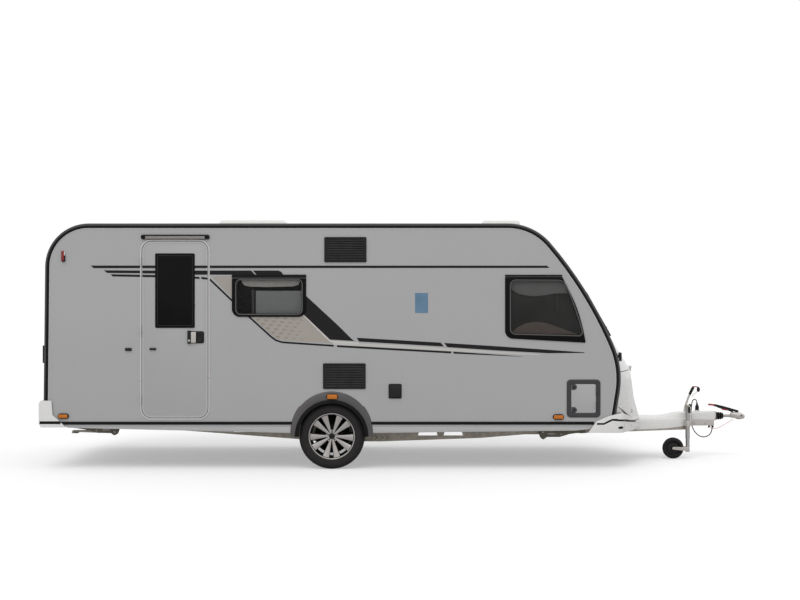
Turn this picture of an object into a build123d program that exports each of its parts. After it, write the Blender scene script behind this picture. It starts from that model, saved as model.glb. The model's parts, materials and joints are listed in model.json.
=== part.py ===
"""Touring caravan: one torsion axle, an overrun drawbar and a nose jockey wheel.

Frame: +X points forward to the coupling, +Y to the left, +Z up. The origin is on the
ground under the middle of the whole trailer. Right is the entrance side (-Y).
All sizes are in millimetres and angles in degrees.
"""
from build123d import *
import math
import os

# ---- body -------------------------------------------------------------------
width = 2320            # across the wheel arch flares
flare_proud = 18        # how far a flare stands out of the side wall
wall_y = width / 2 - flare_proud
wall_t = 32             # sandwich thickness of walls and roof
roof_z = 2466           # top of the edge mouldings above the ground
body_bottom_z = 425     # underside of the floor
floor_t = 45
floor_top_z = body_bottom_z + floor_t
rear_top_x = -3180      # where the flat roof meets the rear top corner
rear_top_r = 435
rear_lean = 0.65        # the rear wall leans forwards as it rises
nose_top_x = 1022       # where the flat roof meets the nose
# nose arcs in the side view, from the roof down: radius, turn
nose_arcs = ((570, 49.5), (3950, 17.5), (860, 32.0))
nose_turn = sum(turn for radius, turn in nose_arcs)
panel_inset = 8         # walls lie this far inside the mouldings' outer edge
moulding_w = 48
moulding_proud = 12
inner_y = wall_y - wall_t

# ---- bowed nose: turn of the side profile, how far the middle stands ahead ---
nose_rows = ((49.5, 20), (58.5, 80), (67, 130), (75, 170), (86, 251), (95, 275))
# lower nose, below the last arc: height, how far the middle stands ahead
nose_foot_rows = ((660, 328), (452, 420))
lid_t = 20
lid_top_z = 972
lid_bottom_z = 455
lid_gap = 7
# right half of the lid's lower edge, from the middle out: y, z; the last run
# goes on to the lid's side
lid_foot = ((660, lid_bottom_z), (1000, 600), (1075, 627))
nose_jamb_w = 40        # front wall left standing beside the lid
# the lid's hinges: the row of the nose that they stand on, and how far out
lid_hinge_turn, lid_hinge_bow = nose_rows[4]
lid_hinge_out = 8
lid_hinge_ys = (-150, 150)

# ---- running gear -----------------------------------------------------------
axle_x = -742
tyre_r = 330
tyre_w = 215
tyre_inset = 14         # tyre's outer face inside the wall face
rim_r = 233             # over the 17 inch flange
rim_w = 190
wheel_y = wall_y - tyre_inset - tyre_w / 2
arch_gap = 15           # radial room round the tyre at the lip
lip_r = tyre_r + arch_gap
flare_r = 412
flare_top_z = 783
flare_shoulder_z = 615  # below it the flare is wider by a small step
flare_step = 8
wheel_box_r = 400
wheel_box_t = 5
wheel_box_depth = 290
axle_tube_r = 50
axle_tube_x = axle_x + 165
axle_tube_z = 300
arm_w = 36
drum_r = 130

# ---- chassis ----------------------------------------------------------------
rail_y = 710            # outer face of a rail
rail_w = 55
rail_t = 6
# lower edge of a rail: x, z
rail_foot = ((-2600, 375), (-1100, 262), (-900, 240), (-250, 238), (768, 274), (1400, 325))
crossbar_xs = (-2450, -1500, 300, 1300)
crossbar_h = 60
crossbar_w = 50
beam_w = 50
beam_h = 115
beam_top_z = body_bottom_z - 4
beam_rear_x = 850
beam_bend_x = 1420
beam_tip_x = 3040
beam_tip_y = 78         # centre line at the tip

# ---- coupling ---------------------------------------------------------------
shaft_z = 445
tube_x0 = 3060
tube_x1 = 3354
tube_r = 42
shaft_r = 16.5
bellows_x1 = 3440
bellows_r = 44
ball_x = 3610
ball_socket_r = 25.5
head_x1 = 3673

# ---- jockey wheel -----------------------------------------------------------
jockey_x = 3025
jockey_y = -155
jockey_trail = 157
jockey_r = 112.5
jockey_w = 60
jockey_tube_r = 24
jockey_inner_r = 21
jockey_tube_z0 = 215
jockey_tube_z1 = 548

# ---- openings of the side walls: x0, x1, z0, z1, corner radius --------------
door = (-2639.5, -1981.5, 519, 2285, 95)
door_window = (-2508.5, -2111.5, 1418, 2165, 40)
kitchen_window = (-1740.5, -996.5, 1529, 1952, 55)
left_windows = ((-3120, -2720, 1600, 1960, 45), (-1900, -1100, 1450, 1960, 55), (-560, 640, 1380, 1960, 55))
upper_vent = (-815.5, -393.5, 2075, 2328, 6)
lower_vent = (-828.5, -401.5, 807, 1064, 6)
service_hatch = (1611.5, 1949.5, 522, 902, 40)
cassette_hatch = (-3130, -2750, 530, 930, 40)
socket_box = (-172.5, -40.5, 711, 859, 20)
hatch_frame_w = 45
# front side window: corner points in the side view, then their radii
side_window_points = ((990, 1950), (1565, 1950), (1703, 1656), (1808, 1267), (990, 1308))
rear_window = (-640, 640, 1340, 1960, 70)      # y0, y1, z0, z1, radius
front_window = (-820, 820, 1330, 2080)         # y0, y1, z0, z1
pane_t = 14
pane_lap = 22

door_gap = 5
door_frame_w = 14
door_proud = 4
hatch_gap = 5
hinge_out = 14          # hinge axes lie this far outside the panels they carry
hinge_r = 7
hinge_l = 90
hinge_plate_l = 42
pin_fit = 0.4


# ---- helpers ----------------------------------------------------------------
def block(x, y, z):
    """Box between a low and a high value along each axis."""
    size = [pair[1] - pair[0] for pair in (x, y, z)]
    middle = [(pair[0] + pair[1]) / 2 for pair in (x, y, z)]
    return Pos(*middle) * Box(*size)


def across(face, y0, y1):
    """Extrude a side-view face (x, z) from y0 to y1."""
    return extrude(Plane.XZ.offset(-y1) * face, amount=y1 - y0, dir=(0, -1, 0))


def upright(face, z0, z1):
    """Extrude a plan-view face (x, y) from z0 to z1."""
    return extrude(Plane.XY.offset(z0) * face, amount=z1 - z0, dir=(0, 0, 1))


def endwise(face, x0, x1):
    """Extrude a front-view face (y, z) from x0 to x1."""
    return extrude(Plane.YZ.offset(x0) * face, amount=x1 - x0, dir=(1, 0, 0))


def panel(size, grow=0, radius=None):
    """Rounded rectangle between x0, x1 and z0, z1, grown on all sides."""
    x0, x1, z0, z1 = size[:4]
    corner = (size[4] if radius is None else radius) + grow
    shape = RectangleRounded(x1 - x0 + 2 * grow, z1 - z0 + 2 * grow, max(corner, 1))
    return Pos((x0 + x1) / 2, (z0 + z1) / 2) * shape


def polygon(points):
    """Face inside a closed run of straight lines."""
    return make_face(Polyline(*points, close=True))


def rod(start, end, radius):
    """Round bar between two points."""
    line = Vector(*end) - Vector(*start)
    return extrude(Plane(origin=start, z_dir=line) * Circle(radius), amount=line.length)


def mirrored(part):
    """The same part on the other side of the middle plane."""
    return mirror(part, about=Plane.XZ)


def both(part):
    """A part and its mirror image, as separate solids."""
    return Compound(children=[part, mirrored(part)])


def group(*parts):
    """Separate solids in one node."""
    return Compound(children=list(parts))


# ---- body outline -----------------------------------------------------------
def nose_point(turn, inset=0):
    """Point of the side profile where it has turned down by this angle."""
    x = nose_top_x
    z = roof_z - inset
    done = 0
    for radius, sweep in nose_arcs:
        part = max(0, min(turn - done, sweep))
        a0 = math.radians(done)
        a1 = math.radians(done + part)
        x += (radius - inset) * (math.sin(a1) - math.sin(a0))
        z -= (radius - inset) * (math.cos(a0) - math.cos(a1))
        done += sweep
    return x, z


def nose_straight(z, inset=0):
    """Side profile's x at a height below the last arc."""
    x_end, z_end = nose_point(nose_turn, inset)
    return x_end - (z_end - z) * math.tan(math.radians(nose_turn - 90))


def body_outline(inset=0, bottom=body_bottom_z):
    """Closed side view of the body, moved inwards by inset."""
    rear = JernArc((rear_top_x, roof_z - inset), (-1, 0), rear_top_r - inset, 90 - rear_lean)
    top = Line((rear_top_x, roof_z - inset), (nose_top_x, roof_z - inset))
    edges = [rear, top]
    place = top @ 1
    heading = top % 1
    for radius, sweep in nose_arcs:
        arc = JernArc(place, heading, radius - inset, -sweep)
        edges.append(arc)
        place = arc @ 1
        heading = arc % 1
    front_foot = (nose_straight(bottom, inset), bottom)
    shoulder = rear @ 1
    rear_foot = (shoulder.X - (shoulder.Y - bottom) * math.tan(math.radians(rear_lean)), bottom)
    edges.append(Line(place, front_foot))
    edges.append(Line(front_foot, rear_foot))
    edges.append(Line(rear_foot, shoulder))
    return make_face(edges)


def nose_block(inset, half_width, back_x):
    """Solid whose front is the bowed nose, moved inwards by inset."""
    rows = [nose_point(turn, inset) + (bow,) for turn, bow in nose_rows]
    rows += [(nose_straight(z, inset), z, bow) for z, bow in nose_foot_rows]
    sections = []
    for x, z, bow in rows:
        front = ThreePointArc((x, -half_width), (x + bow, 0), (x, half_width))
        sides = Polyline((x, half_width), (back_x, half_width), (back_x, -half_width), (x, -half_width))
        sections.append(Plane.XY.offset(z) * make_face([front, sides]))
    return loft(sections, ruled=True)


def side_window_face(grow=0):
    """Outline of the front side window, whose front edge follows the nose."""
    a, b, c, d, e = side_window_points
    edges = [Line(a, b), ThreePointArc(b, c, d), Line(d, e), Line(e, a)]
    face = make_face(edges)
    if grow:
        face = offset(face, amount=grow)
    return fillet(face.vertices(), 30)


wall_face = body_outline(panel_inset)
inner_face = body_outline(panel_inset + wall_t, body_bottom_z - 50)


# ---- side walls -------------------------------------------------------------
def arch_cut():
    """Room for the wheel in a side wall."""
    ring = Pos(axle_x, tyre_r) * Circle(lip_r + 20)
    drop = Pos(axle_x, tyre_r / 2) * Rectangle(2 * lip_r + 40, tyre_r)
    return ring + drop


def make_right_wall():
    """Entrance side wall with its doorway, windows and hatches cut through."""
    face = wall_face - arch_cut()
    face -= panel(door, door_gap + door_frame_w)
    face -= panel(kitchen_window, -pane_lap)
    face -= side_window_face(-pane_lap)
    face -= panel(upper_vent, -pane_lap, 25)
    face -= panel(lower_vent, -pane_lap, 25)
    face -= panel(service_hatch, -hatch_frame_w + hatch_gap)
    return across(face, -wall_y, -inner_y)


def make_left_wall():
    """Far side wall with its windows and the cassette hatch cut through."""
    face = wall_face - arch_cut()
    for window in left_windows:
        face -= panel(window, -pane_lap)
    face -= side_window_face(-pane_lap)
    face -= panel(cassette_hatch, -hatch_frame_w + hatch_gap)
    return across(face, inner_y, wall_y)


right_wall = make_right_wall()
left_wall = make_left_wall()

# ---- roof, rear wall and the bowed front wall -------------------------------
strip = across(wall_face - inner_face, -inner_y, inner_y)
nose_break_z = nose_point(nose_rows[0][0])[1]
rear_break_z = roof_z - rear_top_r
roof_hatch_main = (-1978, -1278, -250, 250)
roof_hatch_front = (825, 1225, -200, 200)
far = 9000

roof = strip & block((-far, far), (-far, far), (rear_break_z, far))
roof -= block((0, far), (-far, far), (-far, nose_break_z))
for x0, x1, y0, y1 in (roof_hatch_main, roof_hatch_front):
    roof -= block((x0 + 30, x1 - 30), (y0 + 30, y1 - 30), (roof_z - 100, far))

rear_wall = strip & block((-far, 0), (-far, far), (-far, rear_break_z))
rear_wall -= endwise(panel(rear_window, -pane_lap), -far, 0)

nose_back_x = 1000
nose_shell = nose_block(panel_inset, inner_y, nose_back_x)
nose_shell -= nose_block(panel_inset + wall_t, inner_y + 20, nose_back_x - 20)
lid_half_w = inner_y - nose_jamb_w
hole_half_w = lid_half_w + lid_gap
lid_hole = block((nose_back_x, far), (-hole_half_w, hole_half_w), (-far, lid_top_z + lid_gap))
y0, y1, z0, z1 = front_window
front_wall = nose_shell - lid_hole
front_wall -= block((nose_back_x, far), (y0 + pane_lap, y1 - pane_lap), (z0 + pane_lap, z1 - pane_lap))

locker_lid = nose_block(panel_inset, inner_y, nose_back_x)
locker_lid -= nose_block(panel_inset + lid_t, inner_y + 20, nose_back_x - 20)
lid_edge = [(-y, z) for y, z in lid_foot] + [(-lid_foot[-1][0], lid_top_z), (lid_foot[-1][0], lid_top_z)]
lid_edge += list(reversed(lid_foot))
locker_lid &= endwise(polygon(lid_edge), nose_back_x, far)
locker_lid &= block((nose_back_x, far), (-lid_half_w, lid_half_w), (0, far))

lid_axis_x = nose_point(lid_hinge_turn)[0] + lid_hinge_bow + lid_hinge_out
lid_axis_z = lid_top_z + lid_gap - 1
nose_solid = nose_block(panel_inset, inner_y, nose_back_x)


def lid_pin(y0, y1, radius):
    """Round bar on the lid's hinge axis."""
    return rod((lid_axis_x, y0, lid_axis_z), (lid_axis_x, y1, lid_axis_z), radius)


for y in lid_hinge_ys:
    third = hinge_l / 3
    leaf = (lid_axis_x - hinge_plate_l, lid_axis_x + hinge_r - 2)
    ears = lid_pin(y - 1.5 * third, y + 1.5 * third, hinge_r / 2)
    for y0 in (y - 1.5 * third, y + 0.5 * third):
        ears += lid_pin(y0, y0 + third, hinge_r)
        ears += block(leaf, (y0, y0 + third), (lid_axis_z + 3, lid_axis_z + hinge_r + 9))
    front_wall += ears - nose_solid
    half = third / 2 - pin_fit
    knuckle = lid_pin(y - half, y + half, hinge_r)
    knuckle += block(leaf, (y - half, y + half), (lid_axis_z - hinge_plate_l, lid_axis_z - 3))
    knuckle -= lid_pin(y - hinge_l, y + hinge_l, hinge_r / 2 + pin_fit)
    locker_lid += knuckle - nose_solid

# ---- floor and gas locker ---------------------------------------------------
floor_front_x = 2050
floor_bow = 360
floor_rear_x = -3570
notch_x0 = axle_x - wheel_box_r - wheel_box_t
notch_x1 = axle_x + wheel_box_r + wheel_box_t
notch_y = inner_y - wheel_box_depth
front_edge = ThreePointArc(
    (floor_front_x, inner_y), (floor_front_x + floor_bow, 0), (floor_front_x, -inner_y))
back_edges = Polyline((floor_front_x, -inner_y), (floor_rear_x, -inner_y),
                      (floor_rear_x, inner_y), (floor_front_x, inner_y))
floor_face = make_face([front_edge, back_edges])
floor = upright(floor_face, body_bottom_z, floor_top_z)
for side in (-1, 1):
    ys = sorted((side * notch_y, side * (inner_y + 10)))
    floor -= block((notch_x0, notch_x1), ys, (0, far))

bulkhead_x = 1990
bulkhead_t = 25
bulkhead_top_z = 1080
shelf_x1 = 2060
inside = (-inner_y, inner_y)
gas_locker = block((bulkhead_x, bulkhead_x + bulkhead_t), inside, (floor_top_z, bulkhead_top_z))
gas_locker += block((bulkhead_x, shelf_x1), inside, (bulkhead_top_z, bulkhead_top_z + bulkhead_t))

bottle_r = 150
bottle_h = 500
bottle_t = 5
bottle_foot_h = 12      # the shell stands this high in its foot ring
bottle_round = 55
collar_r = 75
collar_h = 60
bottle_x = 2180
bottle_ys = (-330, 330)


def gas_bottle(y):
    """One 11 kg gas bottle, a hollow steel shell standing on the locker floor."""
    shell_h = bottle_h - 2 * bottle_foot_h
    middle = Pos(bottle_x, y, floor_top_z + bottle_h / 2 + bottle_foot_h)
    body = middle * Cylinder(bottle_r, shell_h)
    body = fillet(body.edges(), bottle_round)
    room = middle * Cylinder(bottle_r - bottle_t, shell_h - 2 * bottle_t)
    body -= fillet(room.edges(), bottle_round - bottle_t)
    foot_h = bottle_foot_h + bottle_t + 15
    foot = Pos(bottle_x, y, floor_top_z + foot_h / 2) * Cylinder(bottle_r - 25, foot_h)
    collar = Pos(bottle_x, y, floor_top_z + bottle_h + collar_h / 3) * Cylinder(collar_r, collar_h)
    return body + foot + collar


gas_bottles = group(*[gas_bottle(y) for y in bottle_ys])

# ---- wheel boxes and arch flares --------------------------------------------
lip_w = 38
lip_rise = 8            # the lip is wider over the wheel than at its feet


def arch_form(radius, foot_z):
    """Half round over the wheel with straight sides down to foot_z."""
    top = Pos(axle_x, tyre_r) * Circle(radius)
    legs = Pos(axle_x, (tyre_r + foot_z) / 2) * Rectangle(2 * radius, tyre_r - foot_z)
    return (top + legs) & (Pos(axle_x, foot_z + radius) * Rectangle(2 * radius, 2 * radius))


def make_wheel_box():
    """Plastic housing over the right wheel, open below and to the outside."""
    outer = across(arch_form(wheel_box_r + wheel_box_t, body_bottom_z), -inner_y, -notch_y)
    room = across(arch_form(wheel_box_r, body_bottom_z - 10), -inner_y - 10, -notch_y - wheel_box_t)
    return outer - room


def make_flare():
    """Moulded flare on the right wall: a sloping face round a darker lip."""
    upper_r = flare_r - flare_step
    upper = Pos(axle_x, flare_top_z - upper_r) * Circle(upper_r)
    lower = Pos(axle_x, flare_top_z - flare_r) * Circle(flare_r)
    lower &= Pos(axle_x, flare_shoulder_z - flare_r) * Rectangle(2 * flare_r, 2 * flare_r)
    above = Pos(axle_x, tyre_r + flare_r) * Rectangle(2 * flare_r + 10, 2 * flare_r)
    hole = arch_form(lip_r, 0)
    face = ((upper + lower) & above) - hole
    lip = ((Pos(axle_x, tyre_r + lip_rise) * Circle(lip_r + lip_w)) & above) - hole
    return across(face, -wall_y - flare_proud / 2, -wall_y) + across(lip, -wall_y - flare_proud, -wall_y)


wheel_boxes = both(make_wheel_box())
arch_flares = both(make_flare())


# ---- edge mouldings ---------------------------------------------------------
def make_moulding():
    """Rounded moulding along the whole edge of the right wall."""
    rim = body_outline(0) - body_outline(moulding_w, body_bottom_z - 50)
    wrap = body_outline(0) - body_outline(panel_inset, body_bottom_z - 50)
    return across(rim, -wall_y - moulding_proud, -wall_y) + across(wrap, -wall_y, -inner_y)


edge_mouldings = both(make_moulding())

# ---- lower trims and skirts -------------------------------------------------
trim_z0 = 450
trim_z1 = 480
trim_runs = ((-3500, -1148), (-317, 1886))
trim_proud = 8
# skirt lower edges: rear run, front run (x, z)
skirt_runs = (((-3390, 418), (-1160, 366)), ((-308, 366), (1702, 390), (1855, 405)))
skirt_t = 10


def make_trims():
    """Black stripes along the foot of the right wall."""
    return [block((x0, x1), (-wall_y - trim_proud, -wall_y), (trim_z0, trim_z1)) for x0, x1 in trim_runs]


def make_skirts():
    """Light strips that hang below the right wall, inside its outer face."""
    parts = []
    for run in skirt_runs:
        top = [(run[-1][0], body_bottom_z), (run[0][0], body_bottom_z)]
        parts.append(across(polygon(list(run) + top), -wall_y, -wall_y + skirt_t))
    return parts


lower_trims = group(*[both(part) for part in make_trims()])
skirts = group(*[both(part) for part in make_skirts()])


# ---- windows ----------------------------------------------------------------
def side_pane(face):
    """Window pane lying on the outside of the right wall."""
    return across(face, -wall_y - pane_t, -wall_y)


side_windows = group(
    side_pane(panel(kitchen_window)),
    both(side_pane(side_window_face())),
    *[mirrored(side_pane(panel(window))) for window in left_windows],
)

y0, y1, z0, z1 = front_window
front_pane = nose_block(panel_inset - pane_t, inner_y, nose_back_x)
front_pane -= nose_block(panel_inset, inner_y + 20, nose_back_x - 20)
front_pane &= block((nose_back_x, far), (y0, y1), (z0, z1))
rear_face = body_outline(panel_inset - pane_t, 500) - body_outline(panel_inset, 400)
rear_pane_strip = across(rear_face, -inner_y, inner_y)
rear_pane = rear_pane_strip & endwise(panel(rear_window), -far, 0)
end_windows = group(front_pane, rear_pane)

# ---- hinges of the side door and hatches ------------------------------------
def hinge_cyl(x, y, z0, z1, radius):
    """Upright cylinder on a hinge axis."""
    return Pos(x, y, (z0 + z1) / 2) * Cylinder(radius, z1 - z0)


def hinge_ears(x, y, z, frame_y):
    """Fixed half of a hinge on the right wall: two ears and the pin."""
    third = hinge_l / 3
    part = hinge_cyl(x, y, z - 1.5 * third, z + 1.5 * third, hinge_r / 2)
    for z0 in (z - 1.5 * third, z + 0.5 * third):
        part += hinge_cyl(x, y, z0, z0 + third, hinge_r)
        part += block((x - hinge_r, x + hinge_r), (y, frame_y), (z0, z0 + third))
    return part


def hinge_knuckle(x, y, z, way, edge_x, leaf_y):
    """Moving half: a knuckle on the pin and a plate that reaches on to the leaf."""
    half = hinge_l / 6 - pin_fit
    part = hinge_cyl(x, y, z - half, z + half, hinge_r)
    part += block(sorted((x, x + way * hinge_plate_l)), (y - 4, y + 5), (z - half, z + half))
    part += block(sorted((edge_x + way, x + way * hinge_plate_l)), (y + 5, leaf_y), (z - half, z + half))
    return part - hinge_cyl(x, y, z - hinge_l, z + hinge_l, hinge_r / 2 + pin_fit)


# ---- entrance door ----------------------------------------------------------
door_y0 = -wall_y - door_proud
door_y1 = -inner_y
door_frame_y0 = -wall_y - 6
door_frame = across(panel(door, door_gap + door_frame_w) - panel(door, door_gap), door_frame_y0, door_y1)
door_leaf = across(panel(door) - panel(door_window, -pane_lap), door_y0, door_y1)
door_glass = across(panel(door_window), door_y0 - 8, door_y0)
door_glass += across(panel(door_window, -pane_lap - 1), door_y0, door_y0 + 12)
door_axis_x = door[0] - 11
door_axis_y = door_y0 - hinge_out
for z in (700, 1390, 2080):
    door_frame += hinge_ears(door_axis_x, door_axis_y, z, door_frame_y0)
    door_leaf += hinge_knuckle(door_axis_x, door_axis_y, z, 1, door[0], door_y0)

handle_x0 = -2183.5
handle_x1 = -2017.5
handle_post_x1 = handle_x0 + 36
handle_paddle_x1 = handle_x0 + 84
handle_z0 = 1260
handle_z1 = 1392
handle_out = 26
handle_plate_t = 6
paddle_t = 12
door_handle = block((handle_x0, handle_post_x1), (door_y0 - handle_out, door_y0), (handle_z0, handle_z1))
door_handle += block((handle_x0, handle_x1), (door_y0 - handle_plate_t, door_y0),
                     (handle_z0 + 2, handle_z1 - 8))
door_handle += block((handle_x0, handle_paddle_x1), (door_y0 - handle_out, door_y0 - handle_out + paddle_t),
                     (handle_z0 + 4, handle_z1 - 10))

# ---- hatches ----------------------------------------------------------------
hatch_lid_y = -wall_y - 6
hatch_frame_y = -wall_y - 8
hatch_axis_out = 8      # hinge axis past the lid's edge


def hatch_lid_size(hatch):
    """Lid outline inside a hatch frame."""
    x0, x1, z0, z1, radius = hatch
    w = hatch_frame_w
    return (x0 + w, x1 - w, z0 + w, z1 - w, max(radius - w / 2, 8))


def hatch_hinges(hatch):
    """Axis of a hatch lid in plan, and the heights of its two hinges."""
    lid = hatch_lid_size(hatch)
    return lid[1] + hatch_axis_out, hatch_lid_y - hinge_out, (lid[2] + 70, lid[3] - 70)


def hatch_frame(hatch):
    """Flat frame on the right wall round a hatch."""
    part = across(panel(hatch) - panel(hatch_lid_size(hatch), hatch_gap), hatch_frame_y, -wall_y)
    x, y, heights = hatch_hinges(hatch)
    for z in heights:
        part += hinge_ears(x, y, z, hatch_frame_y)
    return part


def hatch_lid(hatch):
    """Lid of a hatch, as thick as the wall, with two round locks."""
    lid = hatch_lid_size(hatch)
    part = across(panel(lid), hatch_lid_y, -inner_y)
    for z in (lid[2] + 26, lid[3] - 26):
        part += across(Pos(lid[0] + 22, z) * Circle(11), hatch_lid_y - 6, hatch_lid_y)
    x, y, heights = hatch_hinges(hatch)
    for z in heights:
        part += hinge_knuckle(x, y, z, -1, lid[1], hatch_lid_y)
    return part


opening_frames = group(door_frame, hatch_frame(service_hatch), mirrored(hatch_frame(cassette_hatch)))
service_lid = hatch_lid(service_hatch)
cassette_lid = mirrored(hatch_lid(cassette_hatch))


# ---- vents, socket box, lamps -----------------------------------------------
def fridge_vent(size):
    """Black vent grille with slanted louvres."""
    x0, x1, z0, z1, radius = size
    part = across(panel(size) - panel(size, -24, 26), -wall_y - 10, -wall_y)
    part += across(panel(size, -22, 24), -wall_y - 3, -wall_y)
    pitch = (z1 - z0 - 60) / 7
    for i in range(8):
        z = z0 + 30 + i * pitch
        part += block((x0 + 22, x1 - 22), (-wall_y - 9, -wall_y - 2), (z - 7, z + 7))
    return part


socket_cover = across(panel(socket_box), -wall_y - 26, -wall_y)
wall_fittings = group(fridge_vent(upper_vent), fridge_vent(lower_vent), socket_cover)

light_x = (door[0] - 10, door[1] + 17)
light_z = (door[3] + door_gap + door_frame_w, door[3] + 67)
awning_light = block(light_x, (-wall_y - 26, -wall_y), light_z)
side_lamps = ((-3482.5, -3364.5, 508, 563), (-794, -676, 700, 763), (1469.5, 1584.5, 498, 555))
amber_parts = []
for x0, x1, z0, z1 in side_lamps:
    seat_y = -wall_y - (flare_proud if x0 > -900 and x1 < 0 else 0)
    amber_parts.append(both(block((x0, x1), (seat_y - 10, seat_y), (z0, z1))))
amber_reflectors = group(*amber_parts)

# ---- rear bumper with lamps -------------------------------------------------
bumper_x0 = -3672.5
bumper_z0 = 423
bumper_z1 = 691
bumper_y = wall_y + flare_proud
bumper_gap = 1
bumper_side = ((-3652, bumper_z0), (bumper_x0, bumper_z0 + 40), (bumper_x0, bumper_z1 - 30),
               (-3656, bumper_z1), (-3544, bumper_z1), (-3532, 548), (-3397, bumper_z0))
bumper = across(polygon(bumper_side), -bumper_y, bumper_y)
body_reach = wall_y + moulding_proud + bumper_gap
bumper -= across(body_outline(-bumper_gap, bumper_z0 - 50), -body_reach, body_reach)
tail_lamp_y0 = 700
tail_lamps = both(block((bumper_x0 - 12, bumper_x0), (-1080, -tail_lamp_y0), (500, 640)))
rear_markers = both(block((-3446.5, -3405.5), (-wall_y - 22, -wall_y), (2085, 2188)))
red_lamps = group(tail_lamps, rear_markers)


# ---- skylights --------------------------------------------------------------
skylight_rise = 90      # hood's top above the roof's skin
skylight_sink = 82      # its walls start this far below the skin, and the roof cuts them
skylight_t = 5
skylight_r = 30
roof_skin_z = roof_z - panel_inset
roof_skin = across(wall_face, -inner_y, inner_y)


def skylight(x0, x1, y0, y1):
    """Domed hood over a roof hatch, its foot cut to the roof."""
    foot_z = roof_skin_z - skylight_sink
    top_z = roof_skin_z + skylight_rise
    dome = block((x0, x1), (y0, y1), (foot_z, top_z))
    dome = fillet(dome.faces().sort_by(Axis.Z)[-1].edges(), skylight_r)
    room = block((x0 + skylight_t, x1 - skylight_t), (y0 + skylight_t, y1 - skylight_t),
                 (foot_z - skylight_t, top_z - skylight_t))
    room = fillet(room.faces().sort_by(Axis.Z)[-1].edges(), skylight_r - skylight_t)
    return dome - room - roof_skin


skylights = group(skylight(*roof_hatch_main), skylight(*roof_hatch_front))

# ---- front apron ------------------------------------------------------------
apron_z0 = 368
apron_z1 = 446
apron_t = 8
apron_rear_x = 1830
apron_y = wall_y + flare_proud
apron_gap_y = 345       # half width left open for the drawbar cover
# side view of the apron's upper edge along the side wall: x, z
apron_side = ((apron_rear_x, 377), (1909, 485), (2027, 536), (2110, 556), (2200, 572), (2600, 572))
# corner wings seen from the front: y, top height at x = wing_x; it falls forwards
wing_top = ((700, 572), (850, 594), (1000, 600), (1200, 600))
wing_x = 2100
wing_fall = 0.45


def apron_plan(inset):
    """Plan view of the apron: straight sides, round corners, bowed front."""
    y = apron_y - inset
    rear = apron_rear_x
    side = Line((rear, -y), (2118, -y))
    corner = ThreePointArc((2118, -y), (2172 - inset * 0.8, -1132 + inset * 0.7), (2196 - inset, -1080))
    bow = ThreePointArc((2196 - inset, -1080), (2503 - inset, 0), (2196 - inset, 1080))
    far_corner = ThreePointArc((2196 - inset, 1080), (2172 - inset * 0.8, 1132 - inset * 0.7), (2118, y))
    far_side = Polyline((2118, y), (rear, y), (rear, -y))
    return make_face([side, corner, bow, far_corner, far_side])




def apron_form(inset, foot_z):
    """Outer form of the apron moved inwards: a low front and two corner wings."""
    plan = apron_plan(inset)
    part = upright(plan, foot_z, apron_z1 - inset)
    rise = wing_fall * (wing_x - apron_rear_x)
    edge = [(y, z + rise - inset) for y, z in wing_top]
    face = polygon([(edge[0][0], 0)] + edge + [(edge[-1][0], 0)])
    reach = 2 * (wing_x - apron_rear_x) * math.hypot(1, wing_fall)
    mask = extrude(Plane.YZ.offset(apron_rear_x) * face, amount=reach, dir=(1, 0, -wing_fall))
    wings = upright(plan, foot_z, apron_side[-1][1] + apron_t) & (mask + mirrored(mask))
    return part + wings


side_foot = [(apron_side[-1][0], apron_z0 - apron_t), (apron_rear_x, apron_z0 - apron_t)]
apron = apron_form(0, apron_z0) - apron_form(apron_t, apron_z0 - apron_t)
apron &= across(polygon(list(apron_side) + side_foot), -apron_y, apron_y)
apron -= block((0, far), (-apron_gap_y, apron_gap_y), (0, far))
apron -= nose_solid
apron -= across(body_outline(0, apron_z0 - 20), -wall_y - moulding_proud, wall_y + moulding_proud)
apron -= block((0, apron_rear_x + 1), (-inner_y, inner_y), (0, far))
apron -= upright(floor_face, 0, far)
front_apron = group(*apron.solids())

# ---- grab handles -----------------------------------------------------------
grab_bar = 16
grab_rim = 20           # width of the front handle's frame
grab_foot_h = 30
front_grab_y = -inner_y + 30
front_grab_l = 120
front_grab_z = (1083, 1168)
rear_grab_y = -inner_y + 50
rear_grab_w = 30
rear_grab_z = (1063, 1240)
rear_grab_out = 39      # bar's far face out from the rear wall


def rear_face_x(z):
    """Outer face of the rear wall at a height."""
    return rear_top_x - rear_top_r + panel_inset - (rear_break_z - z) * math.tan(math.radians(rear_lean))


def make_front_grab():
    """Small handle on the right front corner, on two feet."""
    seat_x = nose_point(74)[0] + 22
    y0, y1 = front_grab_y, front_grab_y + front_grab_l
    z0, z1 = front_grab_z
    part = block((seat_x + 12, seat_x + 12 + grab_bar), (y0, y1), (z0, z1))
    part -= block((seat_x, seat_x + 60), (y0 + grab_rim, y1 - grab_rim), (z0 + grab_rim, z1 - grab_rim))
    foot_z = (z0 + z1 - grab_foot_h) / 2
    for y in (y0, y1 - grab_bar):
        part += block((seat_x - 40, seat_x + 14), (y, y + grab_bar), (foot_z, foot_z + grab_foot_h))
    return part - nose_block(panel_inset, inner_y, nose_back_x)


def make_rear_grab():
    """Upright handle on the rear wall near its right edge."""
    x0 = rear_face_x(rear_grab_z[0]) - rear_grab_out
    y = (rear_grab_y, rear_grab_y + rear_grab_w)
    part = block((x0, x0 + grab_bar), y, rear_grab_z)
    for z in (rear_grab_z[0], rear_grab_z[1] - grab_rim):
        part += block((x0 + grab_bar / 2, x0 + rear_grab_out + wall_t / 2), y, (z, z + grab_rim))
    return part - roof_skin


grab_handles = group(both(make_front_grab()), both(make_rear_grab()))

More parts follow.
